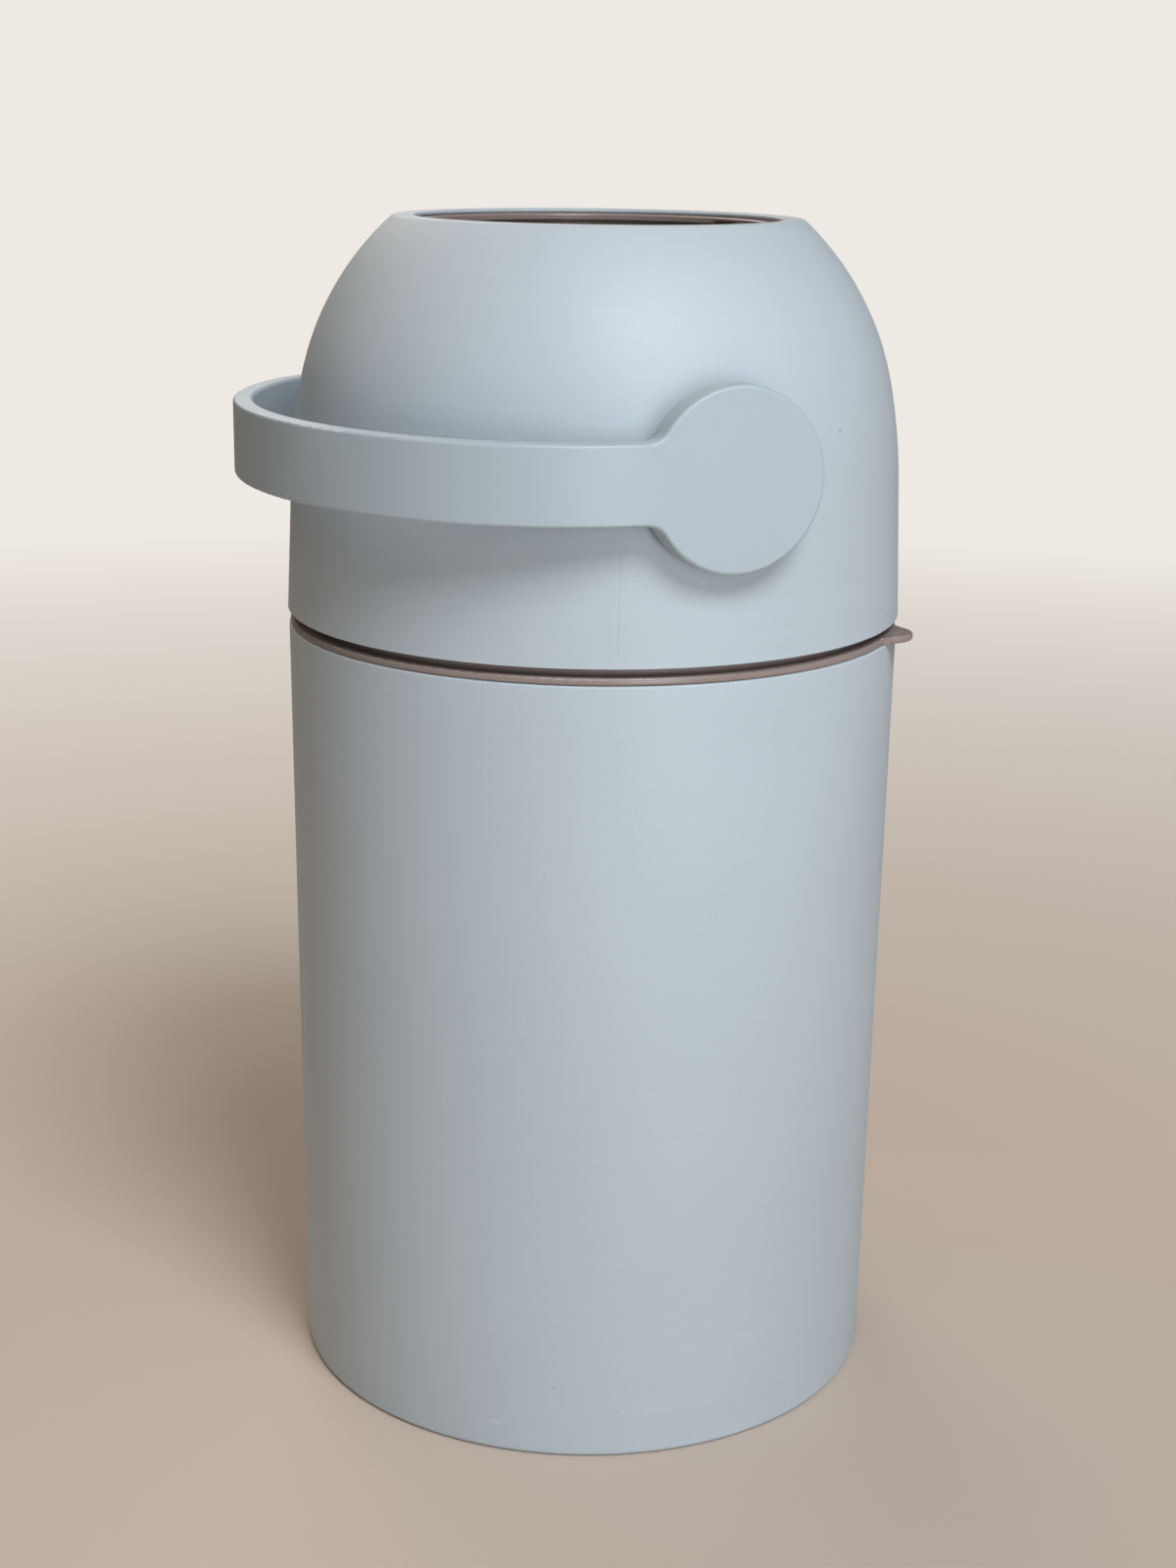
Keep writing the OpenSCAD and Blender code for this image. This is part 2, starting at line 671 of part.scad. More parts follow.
// One half of the drum above the joint plane: ball wall, end lip, collar round the sleeve's end,
// saddles for the pins' keys and ribs that carry the screw posts and steady the sleeve.
module drum_half() {
    saddle_wall = 3.5;
    saddle_in = key_in - 3;
    rib_t = 2;
    collar_w = 2;
    lip_low = drum_end - end_lip_t;
    rotate_extrude($fn = smooth) {
        difference() {
            union() {
                difference() {
                    drum_ball(drum_r);
                    circle(drum_r - drum_wall, $fn = smooth);
                }
                intersection() {
                    translate([sleeve_seat_r, lip_low - 6]) square([collar_w, far]);
                    drum_ball(drum_r);
                }
                translate([chamber_r - end_lip, lip_low]) square([end_lip + chamber_wall + 1, end_lip_t]);
            }
            square([sleeve_seat_r, lip_low]);
            square([chamber_r - end_lip, far]);
        }
    }
    intersection() {
        union() {
            for (side = [0, 1]) mirror([side, 0, 0]) translate([saddle_in, -key_w / 2 - saddle_wall, 0])
                cube([drum_r - saddle_in, key_w + 2 * saddle_wall, key_w / 2 + saddle_wall]);
            around(drum_screw_count, 0.5) translate([sleeve_seat_r, -rib_t / 2, 0])
                cube([drum_r - sleeve_seat_r, rib_t, joint_post_h]);
        }
        rotate_extrude($fn = smooth) drum_ball(drum_r - drum_wall / 2);
    }
}

// Sleeve that lines the chamber in one piece, held between the end lips of the two halves.
module drum_sleeve() {
    chamfer = 0.5;
    h = 2 * (drum_end - end_lip_t - sleeve_gap);
    color(taupe) translate([0, 0, pivot_z - h / 2]) rotate_extrude($fn = smooth)
        polygon([[chamber_r, 0], [tube_r - chamfer, 0], [tube_r, chamfer], [tube_r, h - chamfer],
                 [tube_r - chamfer, h], [chamber_r, h]]);
}

// Space for both pivot pins in the drum, with a slip clearance.
module pin_space() {
    gap = 0.1;
    access = 6;                               // way for the screw's head from inside
    for (side = [-1, 1]) rotate([0, side * 90, 0]) {
        translate([-key_w / 2 - gap, -key_w / 2 - gap, key_in - gap])
            cube([key_w + 2 * gap, key_w + 2 * gap, key_t + 2 * gap]);
        translate([0, 0, key_in]) cylinder(r = neck_r + gap, h = far);
        translate([0, 0, key_in - access]) cylinder(r = screw_head_r + 0.5, h = access + key_t);
    }
}

module drum_upper() {
    post_r = 5.2;
    color(taupe) translate([0, 0, pivot_z]) difference() {
        union() {
            drum_half();
            around(drum_screw_count, 0.5)
                translate([screw_ring_r, 0, 0]) cylinder(r = post_r, h = joint_post_h);
        }
        pin_space();
        around(drum_screw_count, 0.5)
            translate([screw_ring_r, 0, -1]) cylinder(r = screw_r + bite, h = joint_post_h - 2);
    }
}

// The lower half has a well for each screw, open at the ball's face.
module drum_lower() {
    well_r = screw_head_r + 0.7;
    color(taupe) translate([0, 0, pivot_z]) mirror([0, 0, 1]) difference() {
        union() {
            drum_half();
            intersection() {
                around(drum_screw_count, 0.5)
                    translate([screw_ring_r, 0, 0]) cylinder(r = well_r + 2.2, h = drum_end);
                rotate_extrude($fn = smooth) drum_ball(drum_r);
            }
        }
        pin_space();
        around(drum_screw_count, 0.5) translate([screw_ring_r, 0, -1]) {
            cylinder(r = screw_r + pass, h = joint_seat + 2);
            translate([0, 0, joint_seat + 1]) cylinder(r = well_r, h = drum_end);
        }
    }
}

module drum_screws() {
    color(steel) around(drum_screw_count, 0.5)
        translate([screw_ring_r, 0, pivot_z - joint_seat]) screw(joint_seat + joint_post_h - 5);
}

// ---- piston ----

piston_z = pivot_z - drum_end + end_lip_t;    // the piston's lowest point at rest, on the end lip
piston_r = chamber_r - piston_gap;
piston_plate = 2.4;
piston_rim = 4;                               // width of the plates' rims
piston_half_h = piston_h / 2 - 1;             // the seal's thickness stays between the halves
dish = piston_half_h - 4;                     // how far the middle of a plate is drawn in
piston_screw_ring_r = piston_r - 38.6;
piston_screw_seat = dish + screw_head_h / 2;
piston_screw_bite = 3.4;                      // how far a screw holds in the upper plate's post

// One dished plate of the piston, its rim at 0 and its middle drawn in towards the joint.
module piston_half() {
    slope_out = piston_r - 6;
    slope_in = piston_r - 22;
    post_r = 5;
    rotate_extrude($fn = smooth) {
        polygon([[0, dish], [slope_in, dish], [slope_out, 0], [piston_r - 1, 0], [piston_r, 1],
                 [piston_r, piston_half_h], [piston_r - piston_rim, piston_half_h],
                 [piston_r - piston_rim, piston_plate], [slope_out + 1, piston_plate],
                 [slope_in + 1, dish + piston_plate], [0, dish + piston_plate]]);
    }
    around(3, 0.75) translate([piston_screw_ring_r, 0, dish]) cylinder(r = post_r, h = piston_half_h - dish);
}

module piston_lower() {
    color(white) translate([0, 0, piston_z]) difference() {
        piston_half();
        around(3, 0.75) translate([piston_screw_ring_r, 0, -1]) {
            cylinder(r = screw_r + pass, h = piston_h);
            cylinder(r = screw_head_r + 0.3, h = piston_screw_seat + 1);
        }
    }
}

module piston_upper() {
    color(white) translate([0, 0, piston_z + piston_h]) mirror([0, 0, 1]) difference() {
        piston_half();
        around(3, 0.75) translate([piston_screw_ring_r, 0, piston_half_h - piston_screw_bite])
            cylinder(r = screw_r + bite, h = piston_h);
    }
}

// Wiper ring clamped between the piston's plates.
module piston_seal() {
    tip_r = chamber_r - seal_gap;
    half = 1;
    tip_half = 1.6;
    color(seal_grey) translate([0, 0, piston_z + piston_h / 2]) rotate_extrude($fn = smooth)
        polygon([[piston_r - piston_rim, -half], [piston_r, -half], [tip_r, -tip_half], [tip_r, tip_half],
                 [piston_r, half], [piston_r - piston_rim, half]]);
}

module piston_screws() {
    color(steel) translate([0, 0, piston_z]) around(3, 0.75)
        translate([piston_screw_ring_r, 0, piston_screw_seat])
            screw(piston_h / 2 - piston_screw_seat + piston_screw_bite);
}

bin_body();
bag_ring();
head_shell();
head_base();
head_gasket();
head_screws();
inlet_seal();
outlet_seal();
pivot_bush_right();
pivot_bush_left();
carry_handle();
pivot_pin_right();
pivot_pin_left();
pivot_screws();
drum_upper();
drum_lower();
drum_sleeve();
drum_screws();
piston_upper();
piston_lower();
piston_seal();
piston_screws();
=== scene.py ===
import math

import bmesh
import bpy
from mathutils import Matrix, Vector


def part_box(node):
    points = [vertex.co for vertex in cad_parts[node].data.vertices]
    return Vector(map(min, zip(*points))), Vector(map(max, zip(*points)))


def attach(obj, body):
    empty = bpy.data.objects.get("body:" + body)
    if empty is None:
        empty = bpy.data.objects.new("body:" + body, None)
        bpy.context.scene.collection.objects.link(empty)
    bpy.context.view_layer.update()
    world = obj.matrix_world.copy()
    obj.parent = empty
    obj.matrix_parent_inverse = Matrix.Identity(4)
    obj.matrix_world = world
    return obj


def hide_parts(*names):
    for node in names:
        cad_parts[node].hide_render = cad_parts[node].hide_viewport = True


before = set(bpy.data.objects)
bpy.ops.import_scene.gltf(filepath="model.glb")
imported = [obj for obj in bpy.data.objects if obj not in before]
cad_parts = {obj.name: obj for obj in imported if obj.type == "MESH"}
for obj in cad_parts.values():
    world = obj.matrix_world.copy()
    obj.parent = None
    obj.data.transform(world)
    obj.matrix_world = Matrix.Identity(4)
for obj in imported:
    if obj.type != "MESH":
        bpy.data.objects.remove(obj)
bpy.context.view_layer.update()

# ---- Camera ----
# It stands a little over a metre from the bin, at about the height of its lip, and looks down at
# it. Its place was worked out from the outlines of the round body and head in the photograph.
CAMERA_DISTANCE = 1.0344
CAMERA_HEIGHT = 0.5523
VIEW_TURN = 67.3                # turn of the view from looking along +Y, in degrees
CAMERA_YAW = -0.058
CAMERA_PITCH = 15.706
CAMERA_ROLL = 0.815
CAMERA_LENS = 55.0
CAMERA_FRAME = 36.0             # the film's size along the picture's long side, in millimetres

camera_data = bpy.data.cameras.new("camera")
camera_data.lens = CAMERA_LENS
camera_data.sensor_width = CAMERA_FRAME
camera = bpy.data.objects.new("camera", camera_data)
bpy.context.collection.objects.link(camera)
camera.matrix_world = (
    Matrix.Rotation(math.radians(VIEW_TURN), 4, "Z")
    @ Matrix.Translation((0, -CAMERA_DISTANCE, CAMERA_HEIGHT))
    @ Matrix.Rotation(math.radians(-CAMERA_YAW), 4, "Z")
    @ Matrix.Rotation(math.radians(90 - CAMERA_PITCH), 4, "X")
    @ Matrix.Rotation(math.radians(CAMERA_ROLL), 4, "Z")
)
bpy.context.scene.camera = camera
bpy.context.scene.view_settings.view_transform = "Standard"


# ---- Studio ----
# A plain pale floor that runs into a pale surround. One broad key lamp stands high and a little to
# the right of the camera, with two weaker ones under it and one overhead; weak warm lamps stand at
# the left and behind, and the even light comes from the camera's side.
def seen_from_picture(right, away, up):
    """A point given by the picture's own directions, in metres from the bin's foot."""
    return Matrix.Rotation(math.radians(VIEW_TURN), 3, "Z") @ Vector((right, away, up))


def area_lamp(name, place, target, size, power, tint):
    lamp = bpy.data.lights.new(name, "AREA")
    lamp.shape = "DISK"
    lamp.size = size
    lamp.energy = power
    lamp.color = tint
    lamp_object = bpy.data.objects.new(name, lamp)
    bpy.context.collection.objects.link(lamp_object)
    lamp_object.location = place
    lamp_object.rotation_euler = (target - place).to_track_quat("-Z", "Y").to_euler()


def add_node(tree, kind, **settings):
    node = tree.nodes.new(kind)
    for name, value in settings.items():
        setattr(node, name, value)
    return node


def feed(tree, socket, value):
    """Gives a socket a number, a colour or another node's output."""
    if isinstance(value, bpy.types.NodeSocket):
        tree.links.new(value, socket)
    else:
        socket.default_value = value


def maths(tree, operation, *values):
    node = add_node(tree, "ShaderNodeMath", operation=operation)
    for socket, value in zip(node.inputs, values):
        feed(tree, socket, value)
    return node.outputs[0]


def vector_maths(tree, operation, first, second=None):
    node = add_node(tree, "ShaderNodeVectorMath", operation=operation)
    feed(tree, node.inputs[0], first)
    if second is not None:
        feed(tree, node.inputs["Scale" if operation == "SCALE" else 1], second)
    return node.outputs["Value" if operation in ("DOT_PRODUCT", "DISTANCE", "LENGTH") else "Vector"]


def ranged(tree, value, low, high, to_low, to_high):
    """Maps low..high to to_low..to_high, and holds the ends beyond them."""
    node = add_node(tree, "ShaderNodeMapRange")
    for socket, number in zip(node.inputs, (value, low, high, to_low, to_high)):
        feed(tree, socket, number)
    return node.outputs["Result"]


def seen_share(tree):
    """1 for what the camera sees directly, in a gloss or through something clear, else 0."""
    path = add_node(tree, "ShaderNodeLightPath")
    share = maths(tree, "MAXIMUM", path.outputs["Is Camera Ray"], path.outputs["Is Glossy Ray"])
    return maths(tree, "MAXIMUM", share, path.outputs["Is Transmission Ray"])


BRIGHT_SIDE = seen_from_picture(0.42, -0.88, 0.22)
SIDE_BLEND = 0.7                # the surround's light fades over this share to either side
FAR_SIDE_LEVEL = 0.15           # what is left of that light behind the bin


def side_level(tree, direction):
    """How bright the surround is in a direction: full at the camera's side, weak behind the bin."""
    along = vector_maths(tree, "DOT_PRODUCT", direction, BRIGHT_SIDE)
    return ranged(tree, along, -SIDE_BLEND, SIDE_BLEND, FAR_SIDE_LEVEL, 1.0)


BACKDROP = (0.86, 0.82, 0.77)
EVEN_TINT = (1.0, 0.88, 0.78)
EVEN_LEVEL = 0.09               # the strength of the even light on the object

world = bpy.data.worlds.new("surround")
bpy.context.scene.world = world
world.use_nodes = True
sky = world.node_tree
sky.nodes.clear()
sky_direction = add_node(sky, "ShaderNodeTexCoord").outputs["Generated"]
sky_level = side_level(sky, sky_direction)
camera_share = add_node(sky, "ShaderNodeLightPath").outputs["Is Camera Ray"]
even = add_node(sky, "ShaderNodeBackground")
even.inputs["Color"].default_value = (*EVEN_TINT, 1)
feed(sky, even.inputs["Strength"], maths(sky, "MULTIPLY", sky_level, EVEN_LEVEL))
backdrop = add_node(sky, "ShaderNodeBackground")
backdrop.inputs["Color"].default_value = (*BACKDROP, 1)
feed(sky, backdrop.inputs["Strength"], maths(sky, "MAXIMUM", sky_level, camera_share))
sky_mix = add_node(sky, "ShaderNodeMixShader")
feed(sky, sky_mix.inputs["Fac"], seen_share(sky))
feed(sky, sky_mix.inputs[1], even.outputs["Background"])
feed(sky, sky_mix.inputs[2], backdrop.outputs["Background"])
feed(sky, add_node(sky, "ShaderNodeOutputWorld").inputs["Surface"], sky_mix.outputs["Shader"])

BIN_MIDDLE = Vector((0, 0, 0.28))   # where the lamps point
DAYLIGHT = (0.98, 0.985, 1.0)
COOL_LIGHT = (0.87, 0.955, 1.0)
WARM_LIGHT = (1.0, 0.78, 0.56)
PALE_WARM_LIGHT = (1.0, 0.93, 0.86)
LAMPS = [                       # place by the picture's directions, size in metres, watts, tint
    ("key_lamp", (0.85, -1.85, 2.45), 1.3, 57.0, DAYLIGHT),
    ("middle_lamp", (0.70, -2.10, 0.90), 0.8, 4.0, DAYLIGHT),
    ("low_lamp", (0.90, -2.10, 0.20), 0.8, 11.5, COOL_LIGHT),
    ("top_lamp", (0.1, -0.4, 2.3), 1.6, 3.0, DAYLIGHT),
    ("left_lamp", (-1.5, 0.6, 1.85), 1.8, 8.0, WARM_LIGHT),
    ("back_lamp", (-0.7, 2.0, 1.9), 1.6, 20.0, PALE_WARM_LIGHT),
]
for lamp_name, lamp_place, lamp_size, lamp_power, lamp_tint in LAMPS:
    area_lamp(lamp_name, seen_from_picture(*lamp_place), BIN_MIDDLE, lamp_size, lamp_power, lamp_tint)

# far from the bin the floor is seen in the backdrop's colour, so that no horizon shows
FLOOR_SIZE = 30.0
FLOOR_COLOUR = (0.60, 0.515, 0.445)
FLOOR_ROUGHNESS = 0.85
FADE_START = 0.3                # how far from the bin the backdrop's colour sets in
FADE_END = 2.2                  # and where it has taken over
floor_paint = bpy.data.materials.new("floor_paint")
floor_paint.use_nodes = True
ground = floor_paint.node_tree
ground_shader = ground.nodes["Principled BSDF"]
ground_shader.inputs["Base Color"].default_value = (*FLOOR_COLOUR, 1)
ground_shader.inputs["Roughness"].default_value = FLOOR_ROUGHNESS
ground_far = add_node(ground, "ShaderNodeEmission")
ground_far.inputs["Color"].default_value = (*BACKDROP, 1)
ground_place = add_node(ground, "ShaderNodeTexCoord").outputs["Object"]
ground_level = side_level(ground, vector_maths(ground, "NORMALIZE", ground_place))
ground_camera = add_node(ground, "ShaderNodeLightPath").outputs["Is Camera Ray"]
feed(ground, ground_far.inputs["Strength"], maths(ground, "MAXIMUM", ground_level, ground_camera))
ground_distance = vector_maths(ground, "LENGTH", ground_place)
ground_fade = ranged(ground, ground_distance, FADE_START, FADE_END, 0.0, 1.0)
ground_mix = add_node(ground, "ShaderNodeMixShader")
feed(ground, ground_mix.inputs["Fac"], maths(ground, "MULTIPLY", ground_fade, seen_share(ground)))
feed(ground, ground_mix.inputs[1], ground_shader.outputs["BSDF"])
feed(ground, ground_mix.inputs[2], ground_far.outputs["Emission"])
feed(ground, ground.nodes["Material Output"].inputs["Surface"], ground_mix.outputs["Shader"])
bpy.ops.mesh.primitive_plane_add(size=FLOOR_SIZE)
floor = bpy.context.object
floor.name = "floor"
floor.data.materials.append(floor_paint)


# ---- Body ----
# The tall round container: one injection-moulded piece of pale blue-grey plastic with a fine
# eroded grain. It tapers a little towards the floor and stands on a narrow foot ring; under its
# floor plate a hub and radial ribs stiffen it.
def noise(tree, where, scale, detail=2.0, roughness=0.5):
    node = add_node(tree, "ShaderNodeTexNoise")
    feed(tree, node.inputs["Vector"], where)
    node.inputs["Scale"].default_value = scale
    node.inputs["Detail"].default_value = detail
    node.inputs["Roughness"].default_value = roughness
    return node.outputs["Fac"]


def stretched(tree, where, scale, turn=(0, 0, 0)):
    node = add_node(tree, "ShaderNodeMapping")
    feed(tree, node.inputs["Vector"], where)
    node.inputs["Scale"].default_value = scale
    node.inputs["Rotation"].default_value = turn
    return node.outputs["Vector"]


def mixed_colour(tree, share, base, top):
    """Lays a share of one colour over another, by the colour sockets of a Mix node."""
    node = add_node(tree, "ShaderNodeMix", data_type="RGBA")
    feed(tree, node.inputs[0], share)
    feed(tree, node.inputs[6], base)
    feed(tree, node.inputs[7], top)
    return node.outputs[2]


def shader_group(name, inputs, outputs):
    """An empty shader group with named sockets, and its input and output nodes."""
    group = bpy.data.node_groups.new(name, "ShaderNodeTree")
    for label, kind, value in inputs:
        socket = group.interface.new_socket(label, in_out="INPUT", socket_type=kind)
        socket.default_value = value
    for label, kind in outputs:
        group.interface.new_socket(label, in_out="OUTPUT", socket_type=kind)
    return group, add_node(group, "NodeGroupInput"), add_node(group, "NodeGroupOutput")


# how many waves a metre each pattern of the skin has
GRAIN_SCALE = 2600.0
PORE_SCALE = 1100.0
WAVE_SCALE = 16.0
CLOUD_SCALE = 9.0
STREAK_SCALE = (3.0, 3.0, 420.0)


def moulded_skin_group():
    """The skin of an injection-moulded piece: a fine eroded grain, the slow waviness of a cooled
    wall, faint level streaks from the mould's polishing and a slight unevenness of tone."""
    group, given, made = shader_group(
        "moulded_skin",
        [
            ("Color", "NodeSocketColor", (0.5, 0.5, 0.5, 1)),
            ("Tone", "NodeSocketFloat", 0.03),
            ("Roughness", "NodeSocketFloat", 0.5),
            ("Grain Height", "NodeSocketFloat", 0.02),
            ("Waviness Height", "NodeSocketFloat", 0.1),
            ("Streaks", "NodeSocketFloat", 0.02),
        ],
        [
            ("Color", "NodeSocketColor"),
            ("Roughness", "NodeSocketFloat"),
            ("Height", "NodeSocketFloat"),
        ],
    )
    where = add_node(group, "ShaderNodeTexCoord").outputs["Object"]
    grain = noise(group, where, GRAIN_SCALE, 3.0, 0.6)
    pores = noise(group, where, PORE_SCALE, 2.0)
    waves = noise(group, where, WAVE_SCALE, 1.0)
    clouds = noise(group, where, CLOUD_SCALE, 3.0)
    streaks = noise(group, stretched(group, where, STREAK_SCALE), 1.0, 2.0)

    # clouds and pores add up to 0.8 on average, which leaves the colour as it is
    tone = maths(group, "MULTIPLY_ADD", pores, 0.6, clouds)
    tone = maths(group, "SUBTRACT", tone, 0.8)
    tone = maths(group, "MULTIPLY", tone, given.outputs["Tone"])
    level = maths(group, "SUBTRACT", streaks, 0.5)
    level = maths(group, "MULTIPLY_ADD", level, given.outputs["Streaks"], tone)
    shade = vector_maths(group, "SCALE", given.outputs["Color"], maths(group, "ADD", level, 1.0))
    feed(group, made.inputs["Color"], shade)

    rough = ranged(group, clouds, 0.3, 0.7, -0.03, 0.03)
    rough = maths(group, "ADD", rough, ranged(group, streaks, 0.3, 0.7, -0.02, 0.02))
    feed(group, made.inputs["Roughness"], maths(group, "ADD", rough, given.outputs["Roughness"]))

    wavy = maths(group, "MULTIPLY", waves, given.outputs["Waviness Height"])
    height = maths(group, "MULTIPLY_ADD", grain, given.outputs["Grain Height"], wavy)
    feed(group, made.inputs["Height"], height)
    return group


# how many waves or cells a metre each mark of use has
EDGE_PATCH_SCALE = 60.0
SCUFF_SCALE = (34.0, 34.0, 1500.0)
SCUFF_TURN = (0.06, 0.09, 0)
SCUFF_PATCH_SCALE = 21.0
SPECK_SCALE = 85.0
DUST_SCALE = 38.0
SPECK_SHARE = 0.05              # how many of the cells hold a speck
SPECK_COLOUR = (0.16, 0.15, 0.14, 1)
DUST_COLOUR = (0.62, 0.58, 0.53, 1)
EDGE_START = 0.99               # the cosine between the two normals where an edge sets in
EDGE_FULL = 0.88                # and where it is complete


def handling_wear_group():
    """What use leaves on a plastic piece: lighter edges, rubbed and, where set strong, also a painted
    highlight along rounded edges; fine scuffs, a few dark specks and thin dust on whatever faces up."""
    group, given, made = shader_group(
        "wear_and_edge_highlight",
        [
            ("Color", "NodeSocketColor", (0.5, 0.5, 0.5, 1)),
            ("Rubbed And Highlight Color", "NodeSocketColor", (0.8, 0.83, 0.85, 1)),
            ("Edge Width", "NodeSocketFloat", 0.0008),
            ("Edge Rub And Highlight", "NodeSocketFloat", 0.3),
            ("Scuffs", "NodeSocketFloat", 0.2),
            ("Specks", "NodeSocketFloat", 0.5),
            ("Dust", "NodeSocketFloat", 0.1),
        ],
        [("Color", "NodeSocketColor"), ("Roughness", "NodeSocketFloat")],
    )
    places = add_node(group, "ShaderNodeTexCoord")
    where = places.outputs["Object"]

    # where a rounded normal leaves the true one, there is an edge; it is lightened as rubbing and,
    # where set strong, as a painted highlight
    rounded = add_node(group, "ShaderNodeBevel", samples=4)
    feed(group, rounded.inputs["Radius"], given.outputs["Edge Width"])
    true_normal = add_node(group, "ShaderNodeNewGeometry").outputs["Normal"]
    along = vector_maths(group, "DOT_PRODUCT", rounded.outputs["Normal"], true_normal)
    edge = ranged(group, along, EDGE_START, EDGE_FULL, 0.0, 1.0)
    edge_patches = ranged(group, noise(group, where, EDGE_PATCH_SCALE, 3.0), 0.40, 0.62, 0.15, 1.0)
    edge = maths(group, "MULTIPLY", maths(group, "MULTIPLY", edge, edge_patches), given.outputs["Edge Rub And Highlight"])

    # scuffs are short, thin and nearly level, and come in patches
    lines = noise(group, stretched(group, where, SCUFF_SCALE, SCUFF_TURN), 1.0, 1.0)
    patches = ranged(group, noise(group, where, SCUFF_PATCH_SCALE, 1.0), 0.60, 0.68, 0.0, 1.0)
    scuff = maths(group, "MULTIPLY", ranged(group, lines, 0.70, 0.76, 0.0, 1.0), patches)
    scuff = maths(group, "MULTIPLY", scuff, given.outputs["Scuffs"])

    # specks are the round middles of a few cells, small and of uneven size
    dots = add_node(group, "ShaderNodeTexVoronoi")
    feed(group, dots.inputs["Vector"], where)
    dots.inputs["Scale"].default_value = SPECK_SCALE
    apart = add_node(group, "ShaderNodeSeparateColor")
    feed(group, apart.inputs["Color"], dots.outputs["Color"])
    few = maths(group, "GREATER_THAN", apart.outputs["Red"], 1 - SPECK_SHARE)
    size = ranged(group, apart.outputs["Green"], 0.0, 1.0, 0.02, 0.055)
    dot = maths(group, "MULTIPLY", maths(group, "LESS_THAN", dots.outputs["Distance"], size), few)
    dot = maths(group, "MULTIPLY", dot, given.outputs["Specks"])

    # dust settles on what faces up, in uneven patches
    facing = add_node(group, "ShaderNodeSeparateXYZ")
    feed(group, facing.inputs["Vector"], places.outputs["Normal"])
    dust = ranged(group, facing.outputs["Z"], 0.35, 1.0, 0.0, 1.0)
    settled = ranged(group, noise(group, where, DUST_SCALE, 4.0, 0.65), 0.38, 0.68, 0.15, 1.0)
    dust = maths(group, "MULTIPLY", maths(group, "MULTIPLY", dust, settled), given.outputs["Dust"])

    colour = mixed_colour(group, edge, given.outputs["Color"], given.outputs["Rubbed And Highlight Color"])
    colour = mixed_colour(group, scuff, colour, given.outputs["Rubbed And Highlight Color"])
    colour = mixed_colour(group, dot, colour, SPECK_COLOUR)
    colour = mixed_colour(group, dust, colour, DUST_COLOUR)
    feed(group, made.inputs["Color"], colour)
    rough = maths(group, "MULTIPLY_ADD", scuff, 0.25, maths(group, "MULTIPLY", dust, 0.5))
    feed(group, made.inputs["Roughness"], rough)
    return group


MARK_EDGE_SCALE = 1400.0        # waves a metre along a mark's ragged edge


def single_mark_group():
    """One small mark along a straight line between two points; a spot starts where it ends."""
    group, given, made = shader_group(
        "single_mark",
        [
            ("Color", "NodeSocketColor", (0.5, 0.5, 0.5, 1)),
            ("Mark Color", "NodeSocketColor", (0.8, 0.8, 0.8, 1)),
            ("Start", "NodeSocketVector", (0, 0, 0)),
            ("End", "NodeSocketVector", (0, 0, 0)),
            ("Half Width", "NodeSocketFloat", 0.0005),
            ("Strength", "NodeSocketFloat", 0.5),
        ],
        [("Color", "NodeSocketColor")],
    )
    where = add_node(group, "ShaderNodeTexCoord").outputs["Object"]
    to_point = vector_maths(group, "SUBTRACT", where, given.outputs["Start"])
    along = vector_maths(group, "SUBTRACT", given.outputs["End"], given.outputs["Start"])
    length = vector_maths(group, "DOT_PRODUCT", along, along)
    share = maths(group, "DIVIDE", vector_maths(group, "DOT_PRODUCT", to_point, along), length)
    share = ranged(group, share, 0.0, 1.0, 0.0, 1.0)
    nearest = vector_maths(group, "SCALE", along, share)
    distance = vector_maths(group, "DISTANCE", to_point, nearest)
    ragged = ranged(group, noise(group, where, MARK_EDGE_SCALE, 2.0), 0.35, 0.65, 0.6, 1.3)
    reach = maths(group, "MULTIPLY", given.outputs["Half Width"], ragged)
    mask = ranged(group, maths(group, "DIVIDE", distance, reach), 0.5, 1.0, 1.0, 0.0)
    mask = maths(group, "MULTIPLY", mask, given.outputs["Strength"])
    feed(group, made.inputs["Color"], mixed_colour(
        group, mask, given.outputs["Color"], given.outputs["Mark Color"]))
    return group


moulded_skin = moulded_skin_group()
wear_and_edge_highlight = handling_wear_group()
single_mark = single_mark_group()
SKIN_BUMP = 0.001               # how far a Height of 1 stands out
PLASTIC_IOR = 1.49


